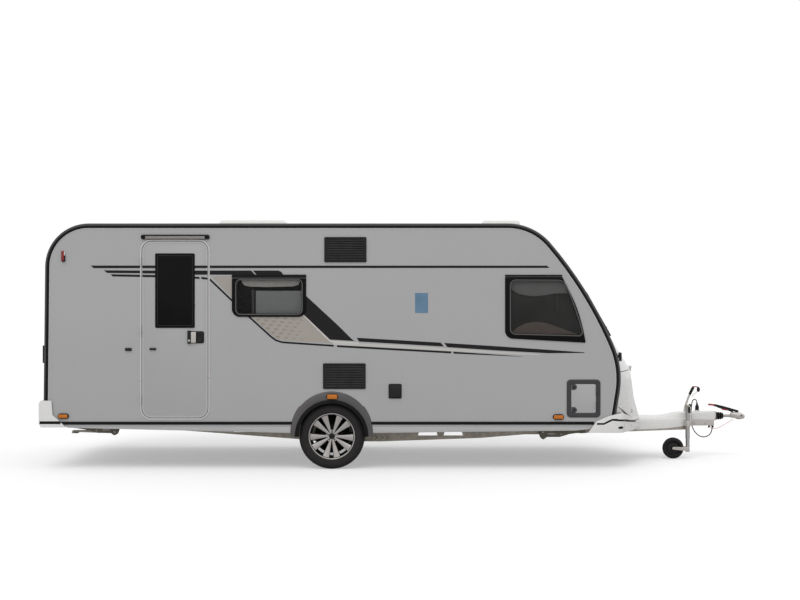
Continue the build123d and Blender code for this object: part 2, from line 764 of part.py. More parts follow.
# ---- chassis ----------------------------------------------------------------
# web cut-outs: x0, x1 at the foot, z0, z1, how much each side leans in
rail_holes = ((128, 330, 300, 357, 18), (392, 592, 300, 357, 18),
              (-2008, -1863, 345, 385, 8), (-1770, -1626, 335, 385, 8))
rail_inner_y = rail_y - rail_w


def make_rail():
    """Right chassis rail: an inward channel, deepest at the axle."""
    top = [(rail_foot[-1][0], body_bottom_z), (rail_foot[0][0], body_bottom_z)]
    face = polygon(list(rail_foot) + top)
    part = across(face, -rail_y, -rail_inner_y) - across(offset(face, -rail_t), -rail_y + rail_t, 0)
    for x0, x1, z0, z1, lean in rail_holes:
        hole = polygon([(x0, z0), (x1, z0), (x1 - lean, z1), (x0 + lean, z1)])
        part -= across(hole, -rail_y - 1, -rail_y + rail_t + 1)
    return part


def make_crossbar(x):
    """Channel across the chassis, between the rails or the drawbar beams."""
    reach = rail_inner_y - (beam_w if x > beam_rear_x else 0)
    z0 = body_bottom_z - crossbar_h
    bar = block((x, x + crossbar_w), (-reach, reach), (z0, body_bottom_z))
    return bar - block((x + rail_t, x + far), (-reach, reach), (z0 + rail_t, body_bottom_z - rail_t))


chassis_rails = group(both(make_rail()), *[make_crossbar(x) for x in crossbar_xs])

# ---- drawbar ----------------------------------------------------------------
beam_t = 6
beam_z0 = beam_top_z - beam_h
beam_out_y = rail_inner_y
tip_plate_t = 12
deck_l = 190            # plate that closes the beams' tips from above


def beam_plan(width):
    """Plan view of the right beam, from its outer edge inwards by width."""
    tip_out = -beam_tip_y - beam_w / 2
    run = [(beam_rear_x, -beam_out_y), (beam_bend_x, -beam_out_y), (beam_tip_x, tip_out)]
    back = [(beam_tip_x, tip_out + width), (beam_bend_x - width * 0.2, -beam_out_y + width),
            (beam_rear_x, -beam_out_y + width)]
    return polygon(run + back)


def make_beam():
    """Right drawbar beam: an inward channel."""
    part = upright(beam_plan(beam_t), beam_z0, beam_top_z)
    for z in (beam_z0, beam_top_z - beam_t):
        part += upright(beam_plan(beam_w), z, z + beam_t)
    return part


tip_half_w = beam_tip_y + beam_w / 2
drawbar = make_beam() + mirrored(make_beam())
tip_reach = (-tip_half_w, tip_half_w)
deck_reach = (-tip_half_w + 20, tip_half_w - 20)
drawbar += block((beam_tip_x, beam_tip_x + tip_plate_t), tip_reach, (beam_z0 + 10, beam_top_z))
drawbar += block((beam_tip_x - deck_l, beam_tip_x), deck_reach, (beam_top_z - beam_t, beam_top_z))

# ---- drawbar cover ----------------------------------------------------------
cover_x0 = 2440
cover_x1 = 2975
cover_x2 = 3083
cover_z0 = 330
cover_z1 = 442
cover_bulge_z0 = 426
cover_bulge_z1 = 496
cover_t = 4
beam_slope = (beam_out_y - tip_half_w) / (beam_tip_x - beam_bend_x)


def cover_half_w(x):
    """Half width of the cover, just outside the beams."""
    return tip_half_w + (beam_tip_x - x) * beam_slope + 7


def cover_plan(inset):
    """Plan view of the cover's low part."""
    rear, front = cover_half_w(cover_x0) - inset, cover_half_w(cover_x1) - inset
    return polygon([(cover_x0, -rear), (cover_x1, -front), (cover_x1, front), (cover_x0, rear)])


bulge_half_w = 100
bulge_x0 = cover_x1 - 60
pad_w = 30
drawbar_cover = upright(cover_plan(0), cover_z0, cover_z1)
drawbar_cover += block((bulge_x0, cover_x2), (-bulge_half_w, bulge_half_w), (cover_bulge_z0, cover_bulge_z1))
drawbar_cover -= upright(cover_plan(cover_t), 0, cover_z1 - cover_t)
bulge_room = bulge_half_w - cover_t
drawbar_cover -= block((bulge_x0 + cover_t, cover_x2 - cover_t), (-bulge_room, bulge_room),
                       (0, cover_bulge_z1 - cover_t))
drawbar_cover -= block((cover_x1 - cover_t, cover_x1 + 1), (-far, far), (0, cover_bulge_z0))
drawbar_cover -= rod((tube_x0 - 20, 0, shaft_z), (tube_x1, 0, shaft_z), tube_r + 3)

for pad_x in (cover_x0 + 60, cover_x1 - 120):
    pad_y = cover_half_w(pad_x) - 2 * pad_w
    for y in (-pad_y, pad_y):
        pad_ys = (y - pad_w / 2, y + pad_w / 2)
        drawbar_cover += block((pad_x, pad_x + pad_w), pad_ys, (beam_top_z, cover_z1 - cover_t))

# ---- overrun housing, cover, bellows, shaft ---------------------------------
housing_x0 = beam_tip_x + tip_plate_t
housing_y = 60
housing_z0 = 344
housing_z1 = 409
housing_cover_x0 = cover_x2 + 3
housing_cover_z1 = 496
overrun_housing = block((housing_x0, tube_x1 - 24), (-housing_y, housing_y), (housing_z0, housing_z1))
overrun_housing += rod((tube_x0, 0, shaft_z), (tube_x1, 0, shaft_z), tube_r)
overrun_housing += rod((tube_x1 - 14, 0, shaft_z), (tube_x1, 0, shaft_z), tube_r + 8)
cover_half_y = housing_y + 2
overrun_cover = block((housing_cover_x0, tube_x1 - 16), (-cover_half_y, cover_half_y),
                      (housing_z1, housing_cover_z1))
overrun_cover = fillet(overrun_cover.faces().sort_by(Axis.Z)[-1].edges(), 16)
overrun_cover -= block((0, far), (-housing_y + 3, housing_y - 3), (0, housing_cover_z1 - 5))

bellows_ribs = 6
rib_depth = 8
rib_fall = 3            # each pleat is smaller than the one behind it


def make_bellows():
    """Pleated rubber sleeve on the coupling shaft."""
    pitch = (bellows_x1 - tube_x1) / bellows_ribs
    part = None
    for i in range(bellows_ribs):
        x = tube_x1 + (i + 0.5) * pitch
        radius = bellows_r - rib_fall * i
        rib = Pos(x, 0, shaft_z) * Rot(0, 90, 0) * Cone(radius, radius - rib_depth, pitch)
        part = rib if part is None else part + rib
    return part


bellows = make_bellows()
neck_x = 3520
coupling_shaft = rod((bellows_x1, 0, shaft_z), (neck_x, 0, shaft_z), shaft_r)

# ---- coupling head and its handle -------------------------------------------
head_r = head_x1 - ball_x - 8
socket_depth = 46
head_z0 = 409
head_z1 = 478
coupling_head = Pos(ball_x, 0, (head_z0 + head_z1) / 2) * Cylinder(head_r - 18, head_z1 - head_z0)
coupling_head += Pos(ball_x, 0, head_z0 + 10) * Cylinder(head_x1 - ball_x, 20)
coupling_head = fillet(coupling_head.edges().sort_by(Axis.Z)[-1], 18)
coupling_head += block((neck_x, ball_x), (-32, 32), (head_z0 + 6, head_z1 + 8))
coupling_head -= Pos(ball_x, 0, head_z0 + socket_depth / 2) * Cylinder(ball_socket_r, socket_depth)

grip_w = 34
# side view of the handle: x, z along its upper edge, then back along its lower edge
neck_top_z = head_z1 + 8
grip_points = ((3278, 577), (3330, 570), (3460, 536), (3560, 512), (3606, 500), (3606, neck_top_z),
               (3550, neck_top_z), (3540, 498), (3440, 522), (3330, 552), (3280, 561))
coupling_handle = across(polygon(grip_points), -grip_w / 2, grip_w / 2)

# ---- handbrake lever --------------------------------------------------------
brake_y = 76
brake_run = ((3020, 440), (3040, 496), (3083, 658), (3131, 756))
handbrake_lever = block((3005, 3045), (brake_y - 12, brake_y + 12), (beam_top_z, beam_top_z + 30))
for start, end, radius in zip(brake_run[:-1], brake_run[1:], (9, 9, 14)):
    handbrake_lever += rod((start[0], brake_y, start[1]), (end[0], brake_y, end[1]), radius)
drawbar_cover -= block((2995, 3060), (brake_y - 16, brake_y + 16), (beam_top_z, far))

# ---- jockey wheel -----------------------------------------------------------
jockey_fit = 0.4


def jockey_cyl(radius, z0, z1):
    """Cylinder on the jockey tube's axis."""
    return Pos(jockey_x, jockey_y, (z0 + z1) / 2) * Cylinder(radius, z1 - z0)


clamp_z0 = 345
clamp_z1 = 405
jockey_clamp = jockey_cyl(jockey_tube_r + 9, clamp_z0, clamp_z1)
jockey_clamp += block((jockey_x - 30, jockey_x + 30), (jockey_y + 20, -tip_half_w + 8), (clamp_z0, clamp_z1))
jockey_clamp -= jockey_cyl(jockey_tube_r, 0, far)
jockey_clamp -= drawbar
jockey_clamp -= block((jockey_x - 40, jockey_x + 40), (-tip_half_w, 0), (0, far))
jockey_clamp = group(*jockey_clamp.solids().sort_by(SortBy.VOLUME)[-1:])
jockey_tube = jockey_cyl(jockey_tube_r, jockey_tube_z0, jockey_tube_z1) - jockey_cyl(
    jockey_inner_r + jockey_fit, 0, jockey_tube_z1 - 6)
crank_l = 90
crank_w = 16
crank_z = jockey_tube_z1 + 14
crank_grip_r = 11
crank_grip_h = 70
jockey_crank = jockey_cyl(jockey_tube_r + 3, jockey_tube_z1, jockey_tube_z1 + 24)
jockey_crank += block((jockey_x - crank_w / 2, jockey_x + crank_w / 2), (jockey_y - crank_l - 5, jockey_y),
                      (crank_z - 6, crank_z + 6))
jockey_crank += Pos(jockey_x, jockey_y - crank_l, crank_z + 1 - crank_grip_h / 2) * Cylinder(
    crank_grip_r, crank_grip_h)
fork_z0 = 73
fork_z1 = 127
fork_r = 22
inner_tube_t = 3
inner_tube_top_z = 468
spigot_h = 12           # short enough to stay below the outer tube when wound up
spigot_r = jockey_inner_r - inner_tube_t - jockey_fit
jockey_inner_tube = jockey_cyl(jockey_inner_r, fork_z1 + 1, inner_tube_top_z)
jockey_inner_tube -= jockey_cyl(jockey_inner_r - inner_tube_t, 0, far)
jockey_fork = jockey_cyl(fork_r, fork_z0, fork_z1) + jockey_cyl(spigot_r, fork_z1, fork_z1 + spigot_h)
wheel_x = jockey_x - jockey_trail
yoke_x0 = wheel_x + jockey_r + 8
yoke_z0 = fork_z0 + 12
fork_y = jockey_w / 2 + 6
fork_t = 5
fork_eye_r = 14
yoke_half_w = fork_y + fork_t
jockey_fork += block((yoke_x0, jockey_x), (jockey_y - yoke_half_w, jockey_y + yoke_half_w),
                     (yoke_z0, fork_z1))
for side in (-1, 1):
    ys = sorted((jockey_y + side * fork_y, jockey_y + side * yoke_half_w))
    arm = [(wheel_x, jockey_r - fork_eye_r), (yoke_x0 + 10, yoke_z0), (yoke_x0 + 10, fork_z1),
           (wheel_x, jockey_r + fork_eye_r)]
    jockey_fork += across(polygon(arm), *ys)
    jockey_fork += across(Pos(wheel_x, jockey_r) * Circle(fork_eye_r), *ys)
pin_r = 7
jockey_fork += across(Pos(wheel_x, jockey_r) * Circle(pin_r), jockey_y - fork_y, jockey_y + fork_y)


def make_jockey_wheel():
    """Solid rubber tyre on a plastic hub, with a running bore."""
    tyre = Cylinder(jockey_r, jockey_w)
    tyre = fillet(tyre.edges(), 16)
    for side in (-1, 1):
        tyre -= Pos(0, 0, side * jockey_w / 2) * (Cylinder(72, 24) - Cylinder(24, 24))
    tyre -= Cylinder(pin_r + 0.5, jockey_w + 2)
    return Pos(wheel_x, jockey_y, jockey_r) * Rot(90, 0, 0) * tyre


jockey_wheel = make_jockey_wheel()

# ---- supply lead and breakaway cable ----------------------------------------
lead_r = 5.5
plug_x = 3178
plug_y = 92
plug_z0 = 500
plug_z1 = 556
# free run of the supply lead, from the plug's top round and down to its gland
lead_run = (
    (3178, 92, 556.5), (3178, 92, 598), (3159, 122, 619), (3140, 153, 598), (3133, 163, 545),
    (3128, 164, 455), (3128, 158, 365), (3150, 151, 285), (3205, 146, 228), (3272, 143, 212),
    (3330, 141, 240), (3354, 140, 295), (3345, 138, 345), (3316, 130, 376), (3276, 116, 380),
    (3276, 60.5, 380))
cable_r = 2.5
# breakaway cable: from under the overrun tube to the coupling head
cable_run = (
    (3286, -34, 343.5), (3290, -36, 322), (3326, -38, 306), (3375, -40, 314), (3425, -40, 342),
    (3475, -38, 372), (3512, -38, 392), (3540, -36, 412))


def cord_tube(points, radius):
    """Round tube along straight runs joined by arcs as large as the runs allow."""
    places = [Vector(*point) for point in points]
    runs = [(b - a).length for a, b in zip(places[:-1], places[1:])]
    radii = []
    for i in range(1, len(places) - 1):
        turn = (places[i] - places[i - 1]).get_angle(places[i + 1] - places[i])
        radii.append(0.45 * min(runs[i - 1], runs[i]) / math.tan(math.radians(turn / 2)))
    print("cord radii", [round(value) for value in radii])
    path = FilletPolyline(*places, radius=radii)
    section = Plane(origin=path @ 0, z_dir=path % 0) * Circle(radius)
    tube = sweep(section, path=path)
    ratio = tube.volume / (math.pi * radius ** 2 * path.length)
    print("cord length", round(path.length), "volume ratio", round(ratio, 4))
    return tube


supply_lead = cord_tube(lead_run, lead_r)
breakaway_cable = cord_tube(cable_run, cable_r)
lead_plug = Pos(plug_x, plug_y, (plug_z0 + plug_z1) / 2) * Cylinder(21, plug_z1 - plug_z0)
overrun_cover += block((plug_x - 25, plug_x + 25), (housing_y - 3, plug_y + 21), (plug_z0 - 14, plug_z0))
overrun_cover += block((plug_x - 25, plug_x + 25), (housing_y + 2, housing_y + 6), (housing_z1 + 6, plug_z0))

# ---- corner steadies --------------------------------------------------------
steady_l = 440
steady_w = 60
steady_t = 4
steady_y = 760
steady_z = 345
steady_tilt = 2
steady_pivots = (("front", 1410, 1), ("rear", -2985, -1))
steady_pin_r = 8


def make_steady(x, way):
    """Right steady, folded up: an open channel with a foot plate at its end."""
    side = polygon([(-16, -16), (steady_l, -16), (steady_l, -2), (40, 14), (-16, 14)])
    part = across(side, -steady_w / 2, steady_w / 2)
    room_y = steady_w / 2 - steady_t
    part -= block((-20, steady_l + 1), (-room_y, room_y), (-16 + steady_t, 40))
    part += block((steady_l - 60, steady_l), (-45, 45), (-28, -22))
    part += block((steady_l - 40, steady_l - 20), (-20, 20), (-22, -14))
    part -= across(Circle(steady_pin_r + 0.4), -steady_w, steady_w)
    part = Rot(0, -steady_tilt, 0) * part
    if way < 0:
        part = Rot(0, 0, 180) * part
    return Pos(x, -steady_y, steady_z) * part


def make_steady_mount(x, way):
    """Bracket, pin and spindle that carry the right steady."""
    ear = steady_w / 2 + 1
    part = block((-24, 24), (-ear - 5, ear + 5), (body_bottom_z - steady_z - 5, body_bottom_z - steady_z))
    for side in (-1, 1):
        ys = sorted((side * ear, side * (ear + 5)))
        part += block((-20, 20), ys, (-18, body_bottom_z - steady_z))
    part += across(Circle(steady_pin_r), -ear - 5, ear + 5)
    screw_z = 56
    part += rod((0, 0, screw_z), (steady_l - 20, 0, screw_z), 8)
    part += block((-8, 8), (-ear, ear), (screw_z - 10, screw_z + 20))
    part += block((steady_l - 50, steady_l - 40), (-20, 20), (screw_z - 12, body_bottom_z - steady_z))
    part += Pos(steady_l - 22, 0, screw_z) * Rot(0, 90, 0) * extrude(RegularPolygon(12, 6), 18)
    if way < 0:
        part = Rot(0, 0, 180) * part
    return Pos(x, -steady_y, steady_z) * part


steady_mounts = group(*[both(make_steady_mount(x, way)) for name, x, way in steady_pivots])

# ---- axle -------------------------------------------------------------------
arm_y0 = 850
stub_r = 22
stub_y1 = 1000
axle_fit = 0.3
arm_boss_r = 40
arm_wall = 6
backplate_t = 5
backplate_y = arm_y0 + arm_w + 12
axle_tube = rod((axle_tube_x, -arm_y0, axle_tube_z), (axle_tube_x, arm_y0, axle_tube_z), axle_tube_r)
axle_room = rod((axle_tube_x, -far, axle_tube_z), (axle_tube_x, far, axle_tube_z), axle_tube_r + axle_fit)
chassis_rails = group(*[solid - axle_room for solid in chassis_rails.solids()])


def make_swing_arm():
    """Right trailing arm with its stub axle and brake backplate."""
    tube_end = Pos(axle_tube_x, axle_tube_z) * Circle(axle_tube_r + arm_wall)
    boss = Pos(axle_x, tyre_r) * Circle(arm_boss_r)
    face = make_hull(tube_end.edges() + boss.edges())
    part = across(face, -arm_y0 - arm_w, -arm_y0)
    part += across(Pos(axle_x, tyre_r) * Circle(stub_r), -stub_y1, -arm_y0)
    part += across(Pos(axle_x, tyre_r) * Circle(drum_r), -backplate_y, -backplate_y + backplate_t)
    return part


axle = axle_tube + make_swing_arm() + mirrored(make_swing_arm())

# ---- wheels -----------------------------------------------------------------
bead_r = 216
bulge_r = 268           # where the tyre is widest
shoulder_r = 314
tread_t = 14
sidewall_t = 12
barrel_t = 6
spoke_pairs = 5
spoke_split = 15        # half the angle between a pair's spokes
spoke_phase = 53        # place of the first pair, seen from outside
spoke_root_w = 18
spoke_tip_w = 56
spoke_t = 20
spoke_root_r = 40
hub_r = 62
flange_t = 8
bead_y = rim_w / 2 - flange_t - 1


def make_tyre():
    """Hollow tyre centred on its own axis (Y)."""
    half = tyre_w / 2
    # outer then inner half section: radius, distance from the middle
    outer = [(bead_r + 1, bead_y), (rim_r + 3, bead_y), (bulge_r, half), (shoulder_r, half - 6),
             (tyre_r - 3, half - 24), (tyre_r, 0)]
    inner = [(tyre_r - tread_t, 0), (tyre_r - tread_t - 2, half - 34), (shoulder_r - tread_t, half - 18),
             (bulge_r, half - sidewall_t), (rim_r + 8, bead_y - sidewall_t), (bead_r + 1, bead_y - sidewall_t)]
    left_outer = [(r, -y) for r, y in outer[-2::-1]]
    left_inner = [(r, -y) for r, y in inner[::-1]]
    return revolve(polygon(outer + left_outer + left_inner + inner[1:]), axis=Axis.Y)


def make_rim():
    """Alloy wheel with double spokes, hub and brake drum; +Y is its outer face."""
    half = rim_w / 2
    barrel = Rot(90, 0, 0) * (Cylinder(bead_r, rim_w) - Cylinder(bead_r - barrel_t, rim_w))
    flange = Rot(90, 0, 0) * (Cylinder(rim_r, flange_t) - Cylinder(bead_r - barrel_t, flange_t))
    for y in (half - flange_t / 2, -half + flange_t / 2):
        barrel += Pos(0, y, 0) * flange
    face_y = half - 16
    part = barrel
    taper = [(spoke_root_r, -spoke_root_w / 2), (bead_r - 2, -spoke_tip_w / 2), (bead_r - 2, spoke_tip_w / 2),
             (spoke_root_r, spoke_root_w / 2)]
    spoke = across(polygon(taper), face_y - spoke_t, face_y)
    for i in range(spoke_pairs):
        for split in (-spoke_split, spoke_split):
            part += Rot(0, 180 + spoke_phase + 360 / spoke_pairs * i + split, 0) * spoke
    part += Pos(0, face_y - 45, 0) * Rot(90, 0, 0) * Cylinder(hub_r, 90)
    part += Pos(0, face_y, 0) * Rot(90, 0, 0) * Cylinder(34, 20)
    drum_y1 = -(wheel_y - backplate_y) + 3
    part += Pos(0, drum_y1 + 25, 0) * Rot(90, 0, 0) * Cylinder(drum_r - 5, 50)
    part += Pos(0, (drum_y1 + face_y - 45) / 2, 0) * Rot(90, 0, 0) * Cylinder(hub_r, face_y - 45 - drum_y1)
    bore_l = stub_y1 - backplate_y + 4
    part -= Pos(0, drum_y1 + bore_l / 2, 0) * Rot(90, 0, 0) * Cylinder(stub_r + 0.5, bore_l)
    return part


tyre = make_tyre()
rim = make_rim()
wheel_places = (("left", Pos(axle_x, wheel_y, tyre_r)),
                ("right", Pos(axle_x, -wheel_y, tyre_r) * Rot(0, 0, 180)))

nodes = {
    "floor": floor,
    "right_wall": right_wall,
    "left_wall": left_wall,
    "roof": roof,
    "rear_wall": rear_wall,
    "front_wall": front_wall,
    "edge_mouldings": edge_mouldings,
    "opening_frames": opening_frames,
    "side_windows": side_windows,
    "end_windows": end_windows,
    "skylights": skylights,
    "wall_fittings": wall_fittings,
    "awning_light": awning_light,
    "amber_reflectors": amber_reflectors,
    "red_lamps": red_lamps,
    "rear_bumper": bumper,
    "lower_trims": lower_trims,
    "skirts": skirts,
    "arch_flares": arch_flares,
    "wheel_boxes": wheel_boxes,
    "gas_locker": gas_locker,
    "gas_bottles": gas_bottles,
    "front_apron": front_apron,
    "grab_handles": grab_handles,
    "chassis_rails": chassis_rails,
    "drawbar": drawbar,
    "drawbar_cover": drawbar_cover,
    "axle": axle,
    "steady_mounts": steady_mounts,
    "overrun_housing": overrun_housing,
    "overrun_cover": overrun_cover,
    "bellows": bellows,
    "coupling_shaft": coupling_shaft,
    "coupling_head": coupling_head,
    "coupling_handle": coupling_handle,
    "handbrake_lever": handbrake_lever,
    "lead_plug": lead_plug,
    "supply_lead": supply_lead,
    "breakaway_cable": breakaway_cable,
    "jockey_clamp": jockey_clamp,
    "jockey_tube": jockey_tube,
    "jockey_crank": jockey_crank,
    "jockey_inner_tube": jockey_inner_tube,
    "jockey_fork": jockey_fork,
    "jockey_wheel": jockey_wheel,
    "door_leaf": door_leaf,
    "door_glass": door_glass,
    "door_handle": door_handle,
    "locker_lid": locker_lid,
    "service_lid": service_lid,
    "cassette_lid": cassette_lid,
}
for name, x, way in steady_pivots:
    steady = make_steady(x, way)
    nodes["steady_" + name + "_right"] = steady
    nodes["steady_" + name + "_left"] = mirrored(steady)
for name, place in wheel_places:
    nodes["wheel_" + name + "_tyre"] = place * tyre
    nodes["wheel_" + name + "_rim"] = place * rim

os.makedirs("parts", exist_ok=True)
for name, shape in nodes.items():
    export_step(shape, "parts/" + name + ".step")
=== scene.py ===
"""Looks of the touring caravan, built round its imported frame.

+X points forward to the coupling, +Y to the left, +Z up. All sizes are in metres.
The entrance side is the right one (-Y). Most pieces are drawn for that side in the
side view (x, z) and mirrored where the real caravan has them on both sides.
"""
import json
import math

import bmesh
import bpy
from mathutils import Matrix, Vector
from mathutils.bvhtree import BVHTree

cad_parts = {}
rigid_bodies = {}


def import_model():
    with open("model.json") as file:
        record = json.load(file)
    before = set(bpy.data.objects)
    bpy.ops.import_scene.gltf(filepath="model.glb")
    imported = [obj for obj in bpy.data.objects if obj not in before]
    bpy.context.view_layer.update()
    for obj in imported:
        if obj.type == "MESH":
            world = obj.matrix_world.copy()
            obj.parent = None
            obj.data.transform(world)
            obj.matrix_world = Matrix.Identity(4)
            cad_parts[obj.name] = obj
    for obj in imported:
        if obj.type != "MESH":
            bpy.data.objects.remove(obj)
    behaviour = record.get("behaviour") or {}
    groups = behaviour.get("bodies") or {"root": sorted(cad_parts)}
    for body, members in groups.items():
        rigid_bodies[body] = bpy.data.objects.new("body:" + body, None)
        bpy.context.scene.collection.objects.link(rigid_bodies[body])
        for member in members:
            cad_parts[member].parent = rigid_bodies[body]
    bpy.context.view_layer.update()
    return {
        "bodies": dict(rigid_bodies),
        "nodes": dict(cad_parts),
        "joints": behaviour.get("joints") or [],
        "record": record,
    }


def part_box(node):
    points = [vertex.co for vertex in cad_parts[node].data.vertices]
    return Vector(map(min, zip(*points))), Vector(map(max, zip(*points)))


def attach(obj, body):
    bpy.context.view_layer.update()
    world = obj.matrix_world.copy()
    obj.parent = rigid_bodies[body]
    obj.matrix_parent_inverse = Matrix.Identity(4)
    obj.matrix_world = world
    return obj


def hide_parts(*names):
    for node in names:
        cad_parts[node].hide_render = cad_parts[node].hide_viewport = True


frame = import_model()
nodes = frame["nodes"]
# ---- driving sizes, from the frame where it has them ------------------------
wall_y, inner_y = (-corner.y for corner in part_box("right_wall"))
body_foot_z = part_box("edge_mouldings")[0].z
moulding_y, roof_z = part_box("edge_mouldings")[1].yz
flare_y, flare_top_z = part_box("arch_flares")[1].yz
tyre_lo, tyre_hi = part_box("wheel_right_tyre")
axle_x, tyre_r = (tyre_lo.x + tyre_hi.x) / 2, tyre_hi.z / 2
wheel_y = -(tyre_lo.y + tyre_hi.y) / 2

rear_top_x = -3.180     # side view of the body: see body_path
rear_top_r = 0.435
rear_lean = math.radians(0.65)
nose_top_x = 1.022
nose_arcs = ((0.570, 49.5), (3.950, 17.5), (0.860, 32.0))     # radius, degrees turned
nose_turn = sum(turn for radius, turn in nose_arcs)

# openings of the walls: x0, x1, z0, z1
door = (-2.6395, -1.9815, 0.519, 2.285)
door_r = 0.095
door_frame_w = 0.019
door_band = (door[0] - door_frame_w, door[1] + door_frame_w)
leaf_y = wall_y + 0.004     # outer face of the door leaf
door_window = (-2.5085, -2.1115, 1.418, 2.165)
kitchen_window = (-1.7405, -0.9965, 1.529, 1.952)
left_windows = ((-3.120, -2.720, 1.600, 1.960), (-1.900, -1.100, 1.450, 1.960),
                (-0.560, 0.640, 1.380, 1.960))
vents = ((-0.8155, -0.3935, 2.075, 2.328), (-0.8285, -0.4015, 0.807, 1.064))
socket_box = (-0.1725, -0.0405, 0.711, 0.859)
hatches = (("service_lid", (1.6115, 1.9495, 0.522, 0.902), -1),
           ("cassette_lid", (-3.130, -2.750, 0.530, 0.930), 1))     # name, opening, side


# ---- materials --------------------------------------------------------------
def srgb(*values):
    """Linear colour of an 8-bit sRGB one."""
    shares = [value / 255 for value in values]
    return (*(c / 12.92 if c <= 0.04045 else ((c + 0.055) / 1.055) ** 2.4 for c in shares), 1.0)


def grey(value):
    return (value, value, value, 1.0)


def tinted(colour, amount):
    """The colour made lighter or darker by a share."""
    return tuple(min(1.0, c * (1 + amount)) for c in colour[:3]) + (1.0,)


def add_node(tree, kind, inputs=(), **settings):
    """New shader node with its settings and the values of its inputs."""
    node = tree.nodes.new(kind)
    for key, value in settings.items():
        setattr(node, key, value)
    for key, value in dict(inputs).items():
        node.inputs[key].default_value = value
    return node


def noise(tree, scale, detail=3.0, stretch=(1, 1, 1)):
    """Noise over the object's own coordinates, returned as its Fac socket."""
    place = add_node(tree, "ShaderNodeTexCoord")
    mapping = add_node(tree, "ShaderNodeMapping", {"Scale": stretch})
    texture = add_node(tree, "ShaderNodeTexNoise", {"Scale": scale, "Detail": detail})
    tree.links.new(place.outputs["Object"], mapping.inputs["Vector"])
    tree.links.new(mapping.outputs["Vector"], texture.inputs["Vector"])
    return texture.outputs["Fac"]


def ramp(tree, factor, low, high):
    """Colour ramp between two colours or greys."""
    node = add_node(tree, "ShaderNodeValToRGB")
    for element, position, colour in zip(node.color_ramp.elements, (0.35, 0.65), (low, high)):
        element.position = position
        element.color = colour
    tree.links.new(factor, node.inputs["Fac"])
    return node.outputs["Color"]


def add_bump(tree, height, strength, distance):
    node = add_node(tree, "ShaderNodeBump", {"Strength": strength, "Distance": distance})
    tree.links.new(height, node.inputs["Height"])
    tree.links.new(node.outputs["Normal"], tree.nodes["Principled BSDF"].inputs["Normal"])


finish = {}
usual_slot = {}


def surface(name, slot, colour, rough, metallic=0.0, coat=0.0, mottle=0.04, mottle_scale=3.0,
            rough_spread=0.06, grain=0.0, grain_scale=300.0, stretch=(1, 1, 1), sheen=0.0, specular=0.5):
    """Finish with slight colour and gloss variation and a fine surface grain, and its usual slot."""
    material = bpy.data.materials.new(name)
    material.use_nodes = True
    tree = material.node_tree
    inputs = tree.nodes["Principled BSDF"].inputs
    for key, value in (("Metallic", metallic), ("Coat Weight", coat), ("Coat Roughness", 0.08),
                       ("Sheen Weight", sheen), ("Specular IOR Level", specular)):
        inputs[key].default_value = value
    colour = srgb(*colour)
    tints = tinted(colour, -mottle), tinted(colour, mottle)
    gloss = grey(max(rough - rough_spread, 0.02)), grey(min(rough + rough_spread, 1.0))
    tree.links.new(ramp(tree, noise(tree, mottle_scale, 4.0, stretch), *tints), inputs["Base Color"])
    tree.links.new(ramp(tree, noise(tree, mottle_scale * 4), *gloss), inputs["Roughness"])
    if grain:
        add_bump(tree, noise(tree, grain_scale, 2.0, stretch), grain, 0.001)
    finish[name], usual_slot[name] = material, slot
    return tree


def clear_surface(name, slot, colour, transmission, rough):
    """Tinted see-through plastic."""
    tree = surface(name, slot, colour, rough, mottle=0.02, rough_spread=0.01)
    tree.nodes["Principled BSDF"].inputs["Transmission Weight"].default_value = transmission
    tree.nodes["Principled BSDF"].inputs["IOR"].default_value = 1.49
    return tree


def ribbed_lens(name, slot, colour, transmission):
    """Lamp lens with a fine prism pattern moulded inside."""
    tree = clear_surface(name, slot, colour, transmission, 0.12)
    place = add_node(tree, "ShaderNodeTexCoord")
    wave = add_node(tree, "ShaderNodeTexWave", {"Scale": 60.0}, wave_type="BANDS", bands_direction="X")
    tree.links.new(place.outputs["Object"], wave.inputs["Vector"])
    add_bump(tree, wave.outputs["Fac"], 0.5, 0.002)


